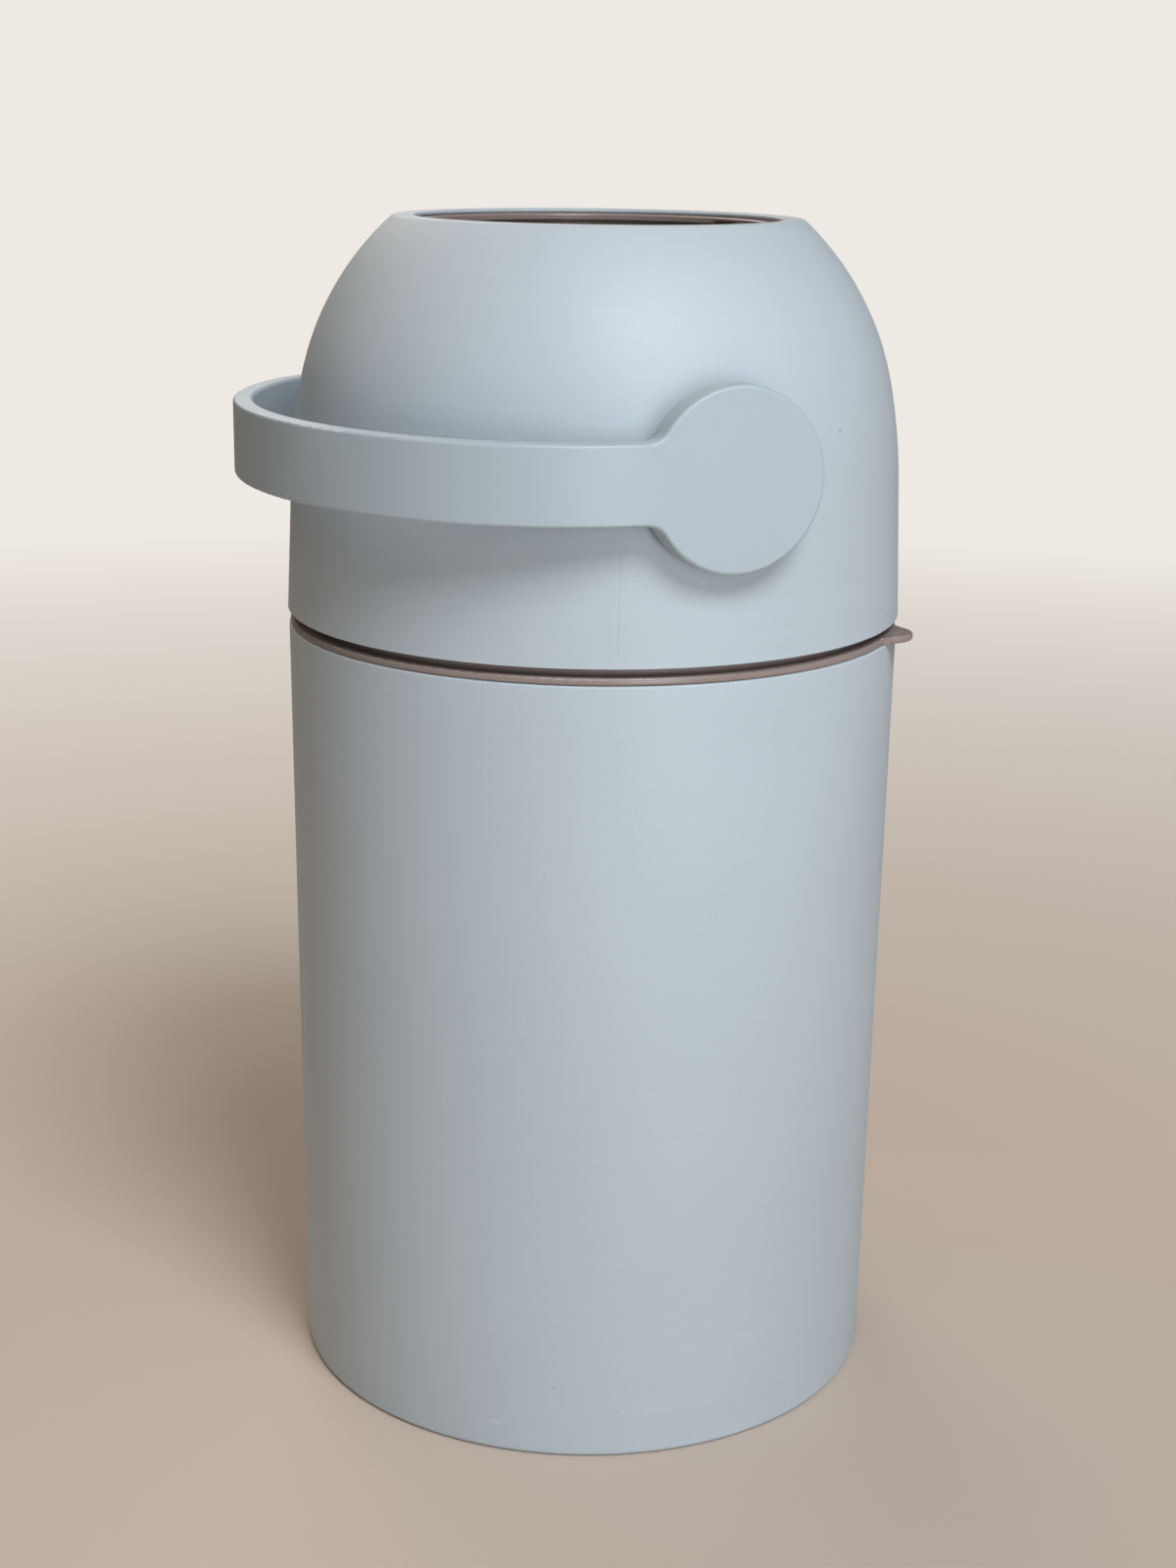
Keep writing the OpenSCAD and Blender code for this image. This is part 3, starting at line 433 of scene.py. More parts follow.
def moulded_plastic(name, colour, roughness, skin, use, marks=()):
    """A plastic with the moulded skin and the marks of use; skin and use hold the values of
    those two groups. Each mark is its start and end in millimetres, half its width, and its
    colour and strength."""
    material = bpy.data.materials.new(name)
    material.use_nodes = True
    tree = material.node_tree
    shader = tree.nodes["Principled BSDF"]
    skin_node = add_node(tree, "ShaderNodeGroup", node_tree=moulded_skin)
    skin_node.inputs["Color"].default_value = (*colour, 1)
    skin_node.inputs["Roughness"].default_value = roughness
    for label, value in skin.items():
        skin_node.inputs[label].default_value = value
    wear_node = add_node(tree, "ShaderNodeGroup", node_tree=wear_and_edge_highlight)
    feed(tree, wear_node.inputs["Color"], skin_node.outputs["Color"])
    for label, value in use.items():
        wear_node.inputs[label].default_value = value
    marked = wear_node.outputs["Color"]
    for start, end, half_width, mark_colour, strength in marks:
        mark = add_node(tree, "ShaderNodeGroup", node_tree=single_mark)
        feed(tree, mark.inputs["Color"], marked)
        mark.inputs["Mark Color"].default_value = (*mark_colour, 1)
        mark.inputs["Start"].default_value = [value / 1000 for value in start]
        mark.inputs["End"].default_value = [value / 1000 for value in end]
        mark.inputs["Half Width"].default_value = half_width / 1000
        mark.inputs["Strength"].default_value = strength
        marked = mark.outputs["Color"]
    feed(tree, shader.inputs["Base Color"], marked)
    rough = maths(tree, "ADD", skin_node.outputs["Roughness"], wear_node.outputs["Roughness"])
    feed(tree, shader.inputs["Roughness"], rough)
    bump = add_node(tree, "ShaderNodeBump")
    bump.inputs["Distance"].default_value = SKIN_BUMP
    feed(tree, bump.inputs["Height"], skin_node.outputs["Height"])
    feed(tree, shader.inputs["Normal"], bump.outputs["Normal"])
    shader.inputs["IOR"].default_value = PLASTIC_IOR
    return material


BLUE_GREY = (0.500, 0.580, 0.645)
RUBBED_BLUE = (0.66, 0.72, 0.76, 1)
CHALK = (0.80, 0.83, 0.84)
SOOT = (0.17, 0.19, 0.21)
BLUE_SKIN = {"Tone": 0.10, "Grain Height": 0.05, "Waviness Height": 0.3, "Streaks": 0.035}
BLUE_USE = {"Rubbed And Highlight Color": RUBBED_BLUE, "Edge Rub And Highlight": 0.35, "Scuffs": 0.3, "Specks": 0.4, "Dust": 0.08}
body_plastic = moulded_plastic("body_plastic", BLUE_GREY, 0.50, BLUE_SKIN, BLUE_USE, [
    ((99.6, -83.2, 13.9), (101.8, -80.5, 12.9), 0.9, CHALK, 0.22),
    ((101.6, -80.8, 17.5), (101.9, -80.4, 16.8), 0.5, CHALK, 0.2),
    ((114.8, -60.8, 32.2), (114.8, -60.8, 32.2), 0.6, SOOT, 0.6),
    ((124.8, -35.6, 21.8), (124.8, -35.6, 21.8), 0.5, SOOT, 0.6),
    ((65.8, -114.7, 326.3), (65.8, -114.7, 326.3), 0.8, SOOT, 0.45),
    ((85.9, -99.6, 231.0), (85.9, -99.6, 231.0), 0.5, SOOT, 0.35),
    ((131.6, 0.2, 242.3), (131.6, 0.2, 242.3), 0.5, SOOT, 0.35),
])


def tree_with(name, inputs):
    """An empty geometry tree with named inputs, and its input and output nodes."""
    tree = bpy.data.node_groups.new(name, "GeometryNodeTree")
    for label, kind, value in inputs:
        socket = tree.interface.new_socket(label, in_out="INPUT", socket_type=kind)
        if value is not None:
            socket.default_value = value
    tree.interface.new_socket("Geometry", in_out="OUTPUT", socket_type="NodeSocketGeometry")
    return tree, add_node(tree, "NodeGroupInput"), add_node(tree, "NodeGroupOutput")


def by_index(tree, kind, values):
    """A field that gives each point of a line its own value."""
    switch = add_node(tree, "GeometryNodeIndexSwitch", data_type=kind)
    while len(switch.index_switch_items) < len(values):
        switch.index_switch_items.new()
    feed(tree, switch.inputs["Index"], add_node(tree, "GeometryNodeInputIndex").outputs["Index"])
    for number, value in enumerate(values):
        feed(tree, switch.inputs[str(number)], value)
    return switch.outputs["Output"]


def combined(tree, x=0.0, y=0.0, z=0.0):
    node = add_node(tree, "ShaderNodeCombineXYZ")
    for socket, value in zip(node.inputs, (x, y, z)):
        feed(tree, socket, value)
    return node.outputs["Vector"]


def section_curve(tree, corners, rounding_steps):
    """The outline of a turned piece through (radius, height, rounding) corners."""
    line = add_node(tree, "GeometryNodeMeshLine")
    line.inputs["Count"].default_value = len(corners)
    curve = add_node(tree, "GeometryNodeMeshToCurve")
    feed(tree, curve.inputs["Mesh"], line.outputs["Mesh"])
    places = [combined(tree, x=radius, z=height) for radius, height, _ in corners]
    shaped = add_node(tree, "GeometryNodeSetPosition")
    feed(tree, shaped.inputs["Geometry"], curve.outputs["Curve"])
    feed(tree, shaped.inputs["Position"], by_index(tree, "VECTOR", places))
    fillet = add_node(tree, "GeometryNodeFilletCurve", mode="POLY")
    feed(tree, fillet.inputs["Curve"], shaped.outputs["Geometry"])
    fillet.inputs["Count"].default_value = rounding_steps
    feed(tree, fillet.inputs["Radius"], by_index(tree, "FLOAT", [corner[2] for corner in corners]))
    fillet.inputs["Limit Radius"].default_value = True
    return fillet.outputs["Curve"]


def grid_to_wrap(tree, rows, steps):
    """A grid with the given rows, and each point's row and its share of the way round."""
    grid = add_node(tree, "GeometryNodeMeshGrid")
    feed(tree, grid.inputs["Vertices X"], maths(tree, "ADD", steps, 1))
    feed(tree, grid.inputs["Vertices Y"], rows)
    index = add_node(tree, "GeometryNodeInputIndex").outputs["Index"]
    row = maths(tree, "MODULO", index, rows)
    column = maths(tree, "FLOOR", maths(tree, "DIVIDE", maths(tree, "ADD", index, 0.5), rows))
    return grid.outputs["Mesh"], row, maths(tree, "DIVIDE", column, steps)


MERGE_DISTANCE = 0.000002       # points that lie closer than this are one


def wrapped_about_z(tree, grid, place, share):
    """Swings each point of a grid from its place to its share of a turn about Z, and closes the
    seam and the poles."""
    turn = add_node(tree, "ShaderNodeVectorRotate", rotation_type="Z_AXIS")
    feed(tree, turn.inputs["Vector"], place)
    feed(tree, turn.inputs["Angle"], maths(tree, "MULTIPLY", share, math.tau))
    wrapped = add_node(tree, "GeometryNodeSetPosition")
    feed(tree, wrapped.inputs["Geometry"], grid)
    feed(tree, wrapped.inputs["Position"], turn.outputs["Vector"])
    closed = add_node(tree, "GeometryNodeMergeByDistance")
    feed(tree, closed.inputs["Geometry"], wrapped.outputs["Geometry"])
    closed.inputs["Distance"].default_value = MERGE_DISTANCE
    return closed.outputs["Geometry"]


def turned_about_z(tree, curve, steps):
    """Wraps a grid round Z, with one row for each point of the outline."""
    line = add_node(tree, "GeometryNodeCurveToMesh")
    feed(tree, line.inputs["Curve"], curve)
    size = add_node(tree, "GeometryNodeAttributeDomainSize", component="MESH")
    feed(tree, size.inputs["Geometry"], line.outputs["Mesh"])
    grid, row, share = grid_to_wrap(tree, size.outputs["Point Count"], steps)
    point = add_node(tree, "GeometryNodeSampleIndex", data_type="FLOAT_VECTOR", domain="POINT")
    feed(tree, point.inputs["Geometry"], line.outputs["Mesh"])
    here = add_node(tree, "GeometryNodeInputPosition").outputs["Position"]
    feed(tree, point.inputs["Value"], here)
    feed(tree, point.inputs["Index"], row)
    return wrapped_about_z(tree, grid, point.outputs["Value"], share)


def end_tree(tree, made, geometry, material):
    """Every tree ends in real geometry with its material set."""
    real = add_node(tree, "GeometryNodeRealizeInstances")
    feed(tree, real.inputs["Geometry"], geometry)
    painted = add_node(tree, "GeometryNodeSetMaterial")
    feed(tree, painted.inputs["Geometry"], real.outputs["Geometry"])
    feed(tree, painted.inputs["Material"], material)
    feed(tree, made.inputs["Geometry"], painted.outputs["Geometry"])


def spread_about_z(tree, geometry, count, first_share):
    """Copies of a piece, evenly spaced about Z, the first at a share of the spacing."""
    points = add_node(tree, "GeometryNodePoints")
    feed(tree, points.inputs["Count"], count)
    index = add_node(tree, "GeometryNodeInputIndex").outputs["Index"]
    turn = maths(tree, "DIVIDE", maths(tree, "ADD", index, first_share), count)
    angle = combined(tree, z=maths(tree, "MULTIPLY", turn, math.tau))
    copies = add_node(tree, "GeometryNodeInstanceOnPoints")
    feed(tree, copies.inputs["Points"], points.outputs["Points"])
    feed(tree, copies.inputs["Instance"], geometry)
    feed(tree, copies.inputs["Rotation"], angle)
    return copies.outputs["Instances"]


def body_tree():
    """The container's wall, floor plate and foot ring, turned about Z, with the hub and ribs
    under the plate."""
    tree, given, made = tree_with(
        "body",
        [
            ("Rim Radius", "NodeSocketFloat", 0.1324),
            ("Base Radius", "NodeSocketFloat", 0.1297),
            ("Height", "NodeSocketFloat", 0.3376),
            ("Wall", "NodeSocketFloat", 0.0028),
            ("Plate Thickness", "NodeSocketFloat", 0.003),
            ("Plate Lift", "NodeSocketFloat", 0.005),
            ("Plate Dish", "NodeSocketFloat", 0.001),
            ("Dish Inset", "NodeSocketFloat", 0.05),
            ("Foot Radius", "NodeSocketFloat", 0.1222),
            ("Base Rounding", "NodeSocketFloat", 0.0025),
            ("Rim Rounding", "NodeSocketFloat", 0.001),
            ("Corner Rounding", "NodeSocketFloat", 0.006),
            ("Edge Rounding", "NodeSocketFloat", 0.0008),
            ("Small Rounding", "NodeSocketFloat", 0.0004),
            ("Hub Radius", "NodeSocketFloat", 0.030),
            ("Rib Count", "NodeSocketInt", 8),
            ("Rib Thickness", "NodeSocketFloat", 0.002),
            ("Rib Lift", "NodeSocketFloat", 0.002),
            ("Rib Sink", "NodeSocketFloat", 0.0005),
            ("Rib Overlap", "NodeSocketFloat", 0.001),
            ("Steps", "NodeSocketInt", 256),
            ("Hub Steps", "NodeSocketInt", 96),
            ("Material", "NodeSocketMaterial", None),
        ],
    )
    value = given.outputs
    inner_rim = maths(tree, "SUBTRACT", value["Rim Radius"], value["Wall"])
    inner_base = maths(tree, "SUBTRACT", value["Base Radius"], value["Wall"])
    plate_top = maths(tree, "ADD", value["Plate Lift"], value["Plate Thickness"])
    plate_low = maths(tree, "SUBTRACT", plate_top, value["Plate Dish"])
    dish = maths(tree, "SUBTRACT", value["Base Radius"], value["Dish Inset"])
    outline = section_curve(tree, [
        (0.0, plate_low, 0.0),
        (dish, plate_low, value["Small Rounding"]),
        (dish, plate_top, value["Small Rounding"]),
        (inner_base, plate_top, value["Corner Rounding"]),
        (inner_rim, value["Height"], value["Edge Rounding"]),
        (value["Rim Radius"], value["Height"], value["Rim Rounding"]),
        (value["Base Radius"], 0.0, value["Base Rounding"]),
        (value["Foot Radius"], 0.0, value["Edge Rounding"]),
        (value["Foot Radius"], value["Plate Lift"], value["Edge Rounding"]),
        (0.0, value["Plate Lift"], 0.0),
    ], rounding_steps=6)
    wall = turned_about_z(tree, outline, value["Steps"])

    hub_inside = maths(tree, "SUBTRACT", value["Hub Radius"], value["Rib Thickness"])
    hub_top = maths(tree, "ADD", value["Plate Lift"], value["Rib Sink"])
    hub_middle = maths(tree, "MULTIPLY_ADD", value["Rib Thickness"], -0.5, value["Hub Radius"])
    hub = turned_about_z(tree, section_curve(tree, [
        (hub_middle, value["Rib Lift"], 0.0),
        (value["Hub Radius"], value["Rib Lift"], value["Small Rounding"]),
        (value["Hub Radius"], hub_top, 0.0),
        (hub_inside, hub_top, 0.0),
        (hub_inside, value["Rib Lift"], value["Small Rounding"]),
        (hub_middle, value["Rib Lift"], 0.0),
    ], rounding_steps=3), value["Hub Steps"])

    # each rib runs from the middle of the hub's wall into the foot ring
    rib_length = maths(tree, "SUBTRACT", value["Foot Radius"], hub_middle)
    rib_length = maths(tree, "ADD", rib_length, value["Rib Overlap"])
    rib_height = maths(tree, "SUBTRACT", hub_top, value["Rib Lift"])
    rib = add_node(tree, "GeometryNodeMeshCube")
    feed(tree, rib.inputs["Size"], combined(tree, rib_length, value["Rib Thickness"], rib_height))
    rib_set = add_node(tree, "GeometryNodeTransform")
    feed(tree, rib_set.inputs["Geometry"], rib.outputs["Mesh"])
    feed(tree, rib_set.inputs["Translation"], combined(
        tree,
        x=maths(tree, "MULTIPLY_ADD", rib_length, 0.5, hub_middle),
        z=maths(tree, "MULTIPLY_ADD", rib_height, 0.5, value["Rib Lift"]),
    ))
    ribs = spread_about_z(tree, rib_set.outputs["Geometry"], value["Rib Count"], 0.0)

    joined = add_node(tree, "GeometryNodeJoinGeometry")
    for part in (wall, hub, ribs):
        feed(tree, joined.inputs["Geometry"], part)
    end_tree(tree, made, joined.outputs["Geometry"], value["Material"])
    return tree


def baked(piece, modifier):
    """Turns what a piece's modifier makes into the piece's own plain mesh."""
    bpy.context.view_layer.update()
    scene_now = bpy.context.evaluated_depsgraph_get()
    mesh = bpy.data.meshes.new_from_object(piece.evaluated_get(scene_now), depsgraph=scene_now)
    piece.modifiers.remove(modifier)
    piece.data = mesh
    return piece


def grown(name, tree, values):
    """Runs a geometry tree with the given input values and returns the result as a plain mesh."""
    seed = bpy.data.objects.new(name, bpy.data.meshes.new(name))
    bpy.context.collection.objects.link(seed)
    modifier = seed.modifiers.new("grow", "NODES")
    modifier.node_group = tree
    for item in tree.interface.items_tree:
        if item.item_type == "SOCKET" and item.in_out == "INPUT" and item.name in values:
            modifier[item.identifier] = values[item.name]
    return baked(seed, modifier)


SMOOTH_ANGLE = math.radians(32)     # a sharper edge between two faces stays sharp


def finished(piece):
    """Points a closed mesh's faces outwards and smooths it between its sharp edges."""
    shape = bmesh.new()
    shape.from_mesh(piece.data)
    bmesh.ops.recalc_face_normals(shape, faces=shape.faces)
    shape.to_mesh(piece.data)
    shape.free()
    piece.data.shade_smooth()
    piece.data.set_sharp_from_angle(angle=SMOOTH_ANGLE)
    return piece


body_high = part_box("bin_body")[1]
BODY_TAPER = 0.0027             # how much narrower the foot is than the rim, in radius
FOOT_INSET = 0.0075             # from the body's foot to the inside of the ring it stands on
body = finished(grown("body", body_tree(), {
    "Rim Radius": body_high.x,
    "Base Radius": body_high.x - BODY_TAPER,
    "Height": body_high.z,
    "Foot Radius": body_high.x - BODY_TAPER - FOOT_INSET,
    "Material": body_plastic,
}))
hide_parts("bin_body")
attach(body, "bin")


# ---- Bag ring ----
# A taupe ring that clamps the bag between its skirt and the body. Its flange ends in a round
# finger tab at the right, and a low collar inside centres the head.
FLAT_ANGLE = math.radians(0.1)
RIM_MARGIN = 0.00006            # how far a rim's points may lie from its circle
RIM_STEPS = 4


def carried_over(node, name, body_name, material, soft_rims=()):
    """A copy of a CAD node in whole flat faces, with its curved faces smoothed. Each soft rim is
    a sharp circle about Z, given by its radius, height and rounding, that the copy rounds off."""
    piece = bpy.data.objects.new(name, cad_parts[node].data.copy())
    bpy.context.collection.objects.link(piece)
    shape = bmesh.new()
    shape.from_mesh(piece.data)
    bmesh.ops.remove_doubles(shape, verts=shape.verts, dist=MERGE_DISTANCE)
    bmesh.ops.dissolve_limit(
        shape, angle_limit=FLAT_ANGLE, use_dissolve_boundaries=False,
        verts=shape.verts, edges=shape.edges, delimit=set(),
    )
    for radius, height, rounding in soft_rims:
        rim = [edge for edge in shape.edges if all(
            abs(math.hypot(vert.co.x, vert.co.y) - radius) < RIM_MARGIN
            and abs(vert.co.z - height) < RIM_MARGIN for vert in edge.verts)]
        bmesh.ops.bevel(
            shape, geom=rim, offset=rounding, segments=RIM_STEPS, profile=0.5, affect="EDGES",
            clamp_overlap=True,
        )
    shape.to_mesh(piece.data)
    shape.free()
    piece.data.shade_smooth()
    piece.data.set_sharp_from_angle(angle=SMOOTH_ANGLE)
    weighted = piece.modifiers.new("weighted", "WEIGHTED_NORMAL")
    weighted.keep_sharp = True
    baked(piece, weighted)
    piece.data.materials.clear()
    piece.data.materials.append(material)
    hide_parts(node)
    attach(piece, body_name)
    return piece


TAUPE = (0.275, 0.222, 0.208)
RUBBED_TAUPE = (0.34, 0.29, 0.27, 1)
# a pale taupe that strongly lightens all the ring's edges: a painted highlight along its rounded
# edges, with some rubbing; its scuffs take this colour too
WORN_AND_HIGHLIGHT_TAUPE = (0.40, 0.345, 0.32, 1)
ring_plastic = moulded_plastic(
    "ring_plastic", TAUPE, 0.26,
    {"Tone": 0.06, "Grain Height": 0.014, "Waviness Height": 0.2, "Streaks": 0.03},
    {"Rubbed And Highlight Color": WORN_AND_HIGHLIGHT_TAUPE, "Edge Rub And Highlight": 0.7, "Scuffs": 0.3, "Specks": 0.3, "Dust": 0.12},
)
carried_over("bag_ring", "ring", "ring", ring_plastic)

# ---- Head base, its gasket and the outlet seal ----
# The taupe bowl under the drum. Its wall stands on the bag ring through a flat gasket, and a
# wiper ring of soft elastomer closes the outlet round the drum's ball.
bowl_plastic = moulded_plastic(
    "bowl_plastic", TAUPE, 0.42,
    {"Tone": 0.06, "Grain Height": 0.02, "Waviness Height": 0.25, "Streaks": 0.02},
    {"Rubbed And Highlight Color": RUBBED_TAUPE, "Edge Rub And Highlight": 0.25, "Scuffs": 0.2, "Specks": 0.2, "Dust": 0.05},
)
SEAL_BROWN = (0.075, 0.066, 0.066)
RUBBED_SEAL = (0.16, 0.15, 0.15, 1)
FOAM_BROWN = (0.190, 0.155, 0.145)
seal_rubber = moulded_plastic(
    "seal_rubber", SEAL_BROWN, 0.62,
    {"Tone": 0.1, "Grain Height": 0.03, "Waviness Height": 0.1, "Streaks": 0.02},
    {"Rubbed And Highlight Color": RUBBED_SEAL, "Edge Rub And Highlight": 0.2, "Scuffs": 0.1, "Specks": 0.1, "Dust": 0.15},
)
carried_over("head_base", "base", "head", bowl_plastic)
gasket_foam = moulded_plastic(
    "gasket_foam", FOAM_BROWN, 0.7,
    {"Tone": 0.12, "Grain Height": 0.08, "Waviness Height": 0.1, "Streaks": 0.0},
    {"Rubbed And Highlight Color": RUBBED_TAUPE, "Edge Rub And Highlight": 0.1, "Scuffs": 0.0, "Specks": 0.2, "Dust": 0.1},
)
carried_over("head_gasket", "gasket", "head", gasket_foam)
carried_over("outlet_seal", "outlet_wiper", "head", seal_rubber)

# ---- Drum ----
# The ball: two moulded halves that clamp the pivot pins' keys and a glossy sleeve, the chamber
# that the nappy is dropped into. It turns with the handle.
DRUM_TAUPE = (0.275, 0.218, 0.204)
PIN_WHITE = (0.72, 0.71, 0.68)
RUBBED_WHITE = (0.6, 0.6, 0.58, 1)
drum_plastic = moulded_plastic(
    "drum_plastic", DRUM_TAUPE, 0.20,
    {"Tone": 0.05, "Grain Height": 0.006, "Waviness Height": 0.5, "Streaks": 0.05},
    {"Rubbed And Highlight Color": RUBBED_TAUPE, "Edge Rub And Highlight": 0.4, "Scuffs": 0.35, "Specks": 0.15, "Dust": 0.05},
)
pin_plastic = moulded_plastic(
    "pin_plastic", PIN_WHITE, 0.4,
    {"Tone": 0.04, "Grain Height": 0.01, "Waviness Height": 0.1, "Streaks": 0.02},
    {"Rubbed And Highlight Color": RUBBED_WHITE, "Edge Rub And Highlight": 0.2, "Scuffs": 0.3, "Specks": 0.1, "Dust": 0.05},
)
LIP_RADIUS = 0.072              # the chamber's edge
LIP_ROUNDING = 0.0008
END_RADIUS = 0.0769             # where the ball's flat end meets its curve
END_ROUNDING = 0.0006


def drum_rims(height):
    return [(LIP_RADIUS, height, LIP_ROUNDING), (END_RADIUS, height, END_ROUNDING)]


top_rims = drum_rims(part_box("drum_upper")[1].z)
bottom_rims = drum_rims(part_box("drum_lower")[0].z)
carried_over("drum_upper", "drum_top", "drum", drum_plastic, top_rims)
carried_over("drum_lower", "drum_bottom", "drum", drum_plastic, bottom_rims)
carried_over("drum_sleeve", "sleeve", "drum", drum_plastic)
carried_over("pivot_pin_right", "pin_right", "drum", pin_plastic)
carried_over("pivot_pin_left", "pin_left", "drum", pin_plastic)

# ---- Piston ----
# Two dished taupe plates with a wiper ring between them. It slides down the chamber by its own
# weight when the drum is turned over, and pushes the nappy out.
carried_over("piston_upper", "piston_top", "piston", bowl_plastic)
carried_over("piston_lower", "piston_bottom", "piston", bowl_plastic)
carried_over("piston_seal", "piston_wiper", "piston", seal_rubber)

# ---- Head shell ----
# The domed cover, moulded in the same blue-grey plastic as the body, with the round mouth in its
# flat top. A wiper ring sits under its lip, and white flanged bushes in its bosses take the pins.
SEAM_SHADE = (0.36, 0.42, 0.46)

# a faint seam of the mould below the handle, a bowed pale line high on the dome and a few small spots
dome_plastic = moulded_plastic("dome_plastic", BLUE_GREY, 0.50, BLUE_SKIN, BLUE_USE, [
    ((124.4, -40.6, 391.5), (125.0, -41.3, 372.6), 0.35, SEAM_SHADE, 0.33),
    ((125.0, -41.3, 372.6), (125.9, -41.7, 350.6), 0.35, SEAM_SHADE, 0.33),
    ((101.5, -46.3, 478.8), (104.9, -37.5, 479.2), 0.5, CHALK, 0.14),
    ((104.9, -37.5, 479.2), (107.8, -29.0, 478.6), 0.5, CHALK, 0.14),
    ((92.4, -93.5, 378.2), (92.4, -93.5, 378.2), 1.1, CHALK, 0.3),
    ((131.2, -9.2, 377.5), (131.2, -9.2, 377.5), 1.2, CHALK, 0.25),
    ((113.5, 57.8, 432.1), (114.2, 57.0, 431.0), 0.6, SOOT, 0.5),
])
carried_over("head_shell", "dome", "head", dome_plastic)
carried_over("inlet_seal", "inlet_wiper", "head", seal_rubber)
carried_over("pivot_bush_right", "bush_right", "head", pin_plastic)
carried_over("pivot_bush_left", "bush_left", "head", pin_plastic)

# ---- Handle ----
# A stout U band, moulded in one with a round disc over each pivot. Its square sockets sit on the
# pins, so it carries the bin by them and turns the drum.
HANDLE_BLUE = (0.437, 0.525, 0.588)
handle_plastic = moulded_plastic(
    "handle_plastic", HANDLE_BLUE, 0.42,
    {"Tone": 0.06, "Grain Height": 0.03, "Waviness Height": 0.15, "Streaks": 0.01},
    {"Rubbed And Highlight Color": RUBBED_BLUE, "Edge Rub And Highlight": 0.5, "Scuffs": 0.2, "Specks": 0.3, "Dust": 0.08},
)
carried_over("carry_handle", "handle", "drum", handle_plastic)

# ---- Screws ----
# Zinc-plated screws with round socket heads and a rolled thread: six hold the base in the shell,
# four join the drum's halves, three the piston's plates, and one at each side holds the handle.
ZINC = (0.64, 0.64, 0.62, 1)
DULL_ZINC = (0.50, 0.51, 0.52, 1)
TURNING_SCALE = (900.0, 900.0, 9000.0)
SHEEN_SCALE = 420.0
TURNING_BUMP = 0.00002


def zinc_plate():
    """Zinc-plated steel: fine turning marks, and random patches of dull, smoother plating among
    bright, rougher plating.
    """
    material = bpy.data.materials.new("zinc_plate")
    material.use_nodes = True
    tree = material.node_tree
    shader = tree.nodes["Principled BSDF"]
    where = add_node(tree, "ShaderNodeTexCoord").outputs["Object"]
    patches = noise(tree, where, SHEEN_SCALE, 3.0)
    marks = noise(tree, stretched(tree, where, TURNING_SCALE), 1.0, 1.0)
    tone = ranged(tree, patches, 0.35, 0.65, 0.0, 1.0)
    feed(tree, shader.inputs["Base Color"], mixed_colour(tree, tone, DULL_ZINC, ZINC))
    feed(tree, shader.inputs["Roughness"], ranged(tree, patches, 0.3, 0.7, 0.28, 0.42))
    shader.inputs["Metallic"].default_value = 1.0
    bump = add_node(tree, "ShaderNodeBump")
    bump.inputs["Distance"].default_value = TURNING_BUMP
    feed(tree, bump.inputs["Height"], marks)
    feed(tree, shader.inputs["Normal"], bump.outputs["Normal"])
    return material


HEAD_RADIUS = 0.0035
HEAD_HEIGHT = 0.0025
SCREW_PITCH = 0.0009
STEPS_PER_PITCH = 4
SHANK_STEPS = 24                # points round the shank
SHANK_ROOT = 0.0003             # how far the shank starts inside the head
POINT_STEP = 0.2                # how much each of the shank's last rows narrows its point
HEAD_STEPS = 48
SOCKET_MARGIN = 0.00006         # how far outside the socket's wall its points may lie


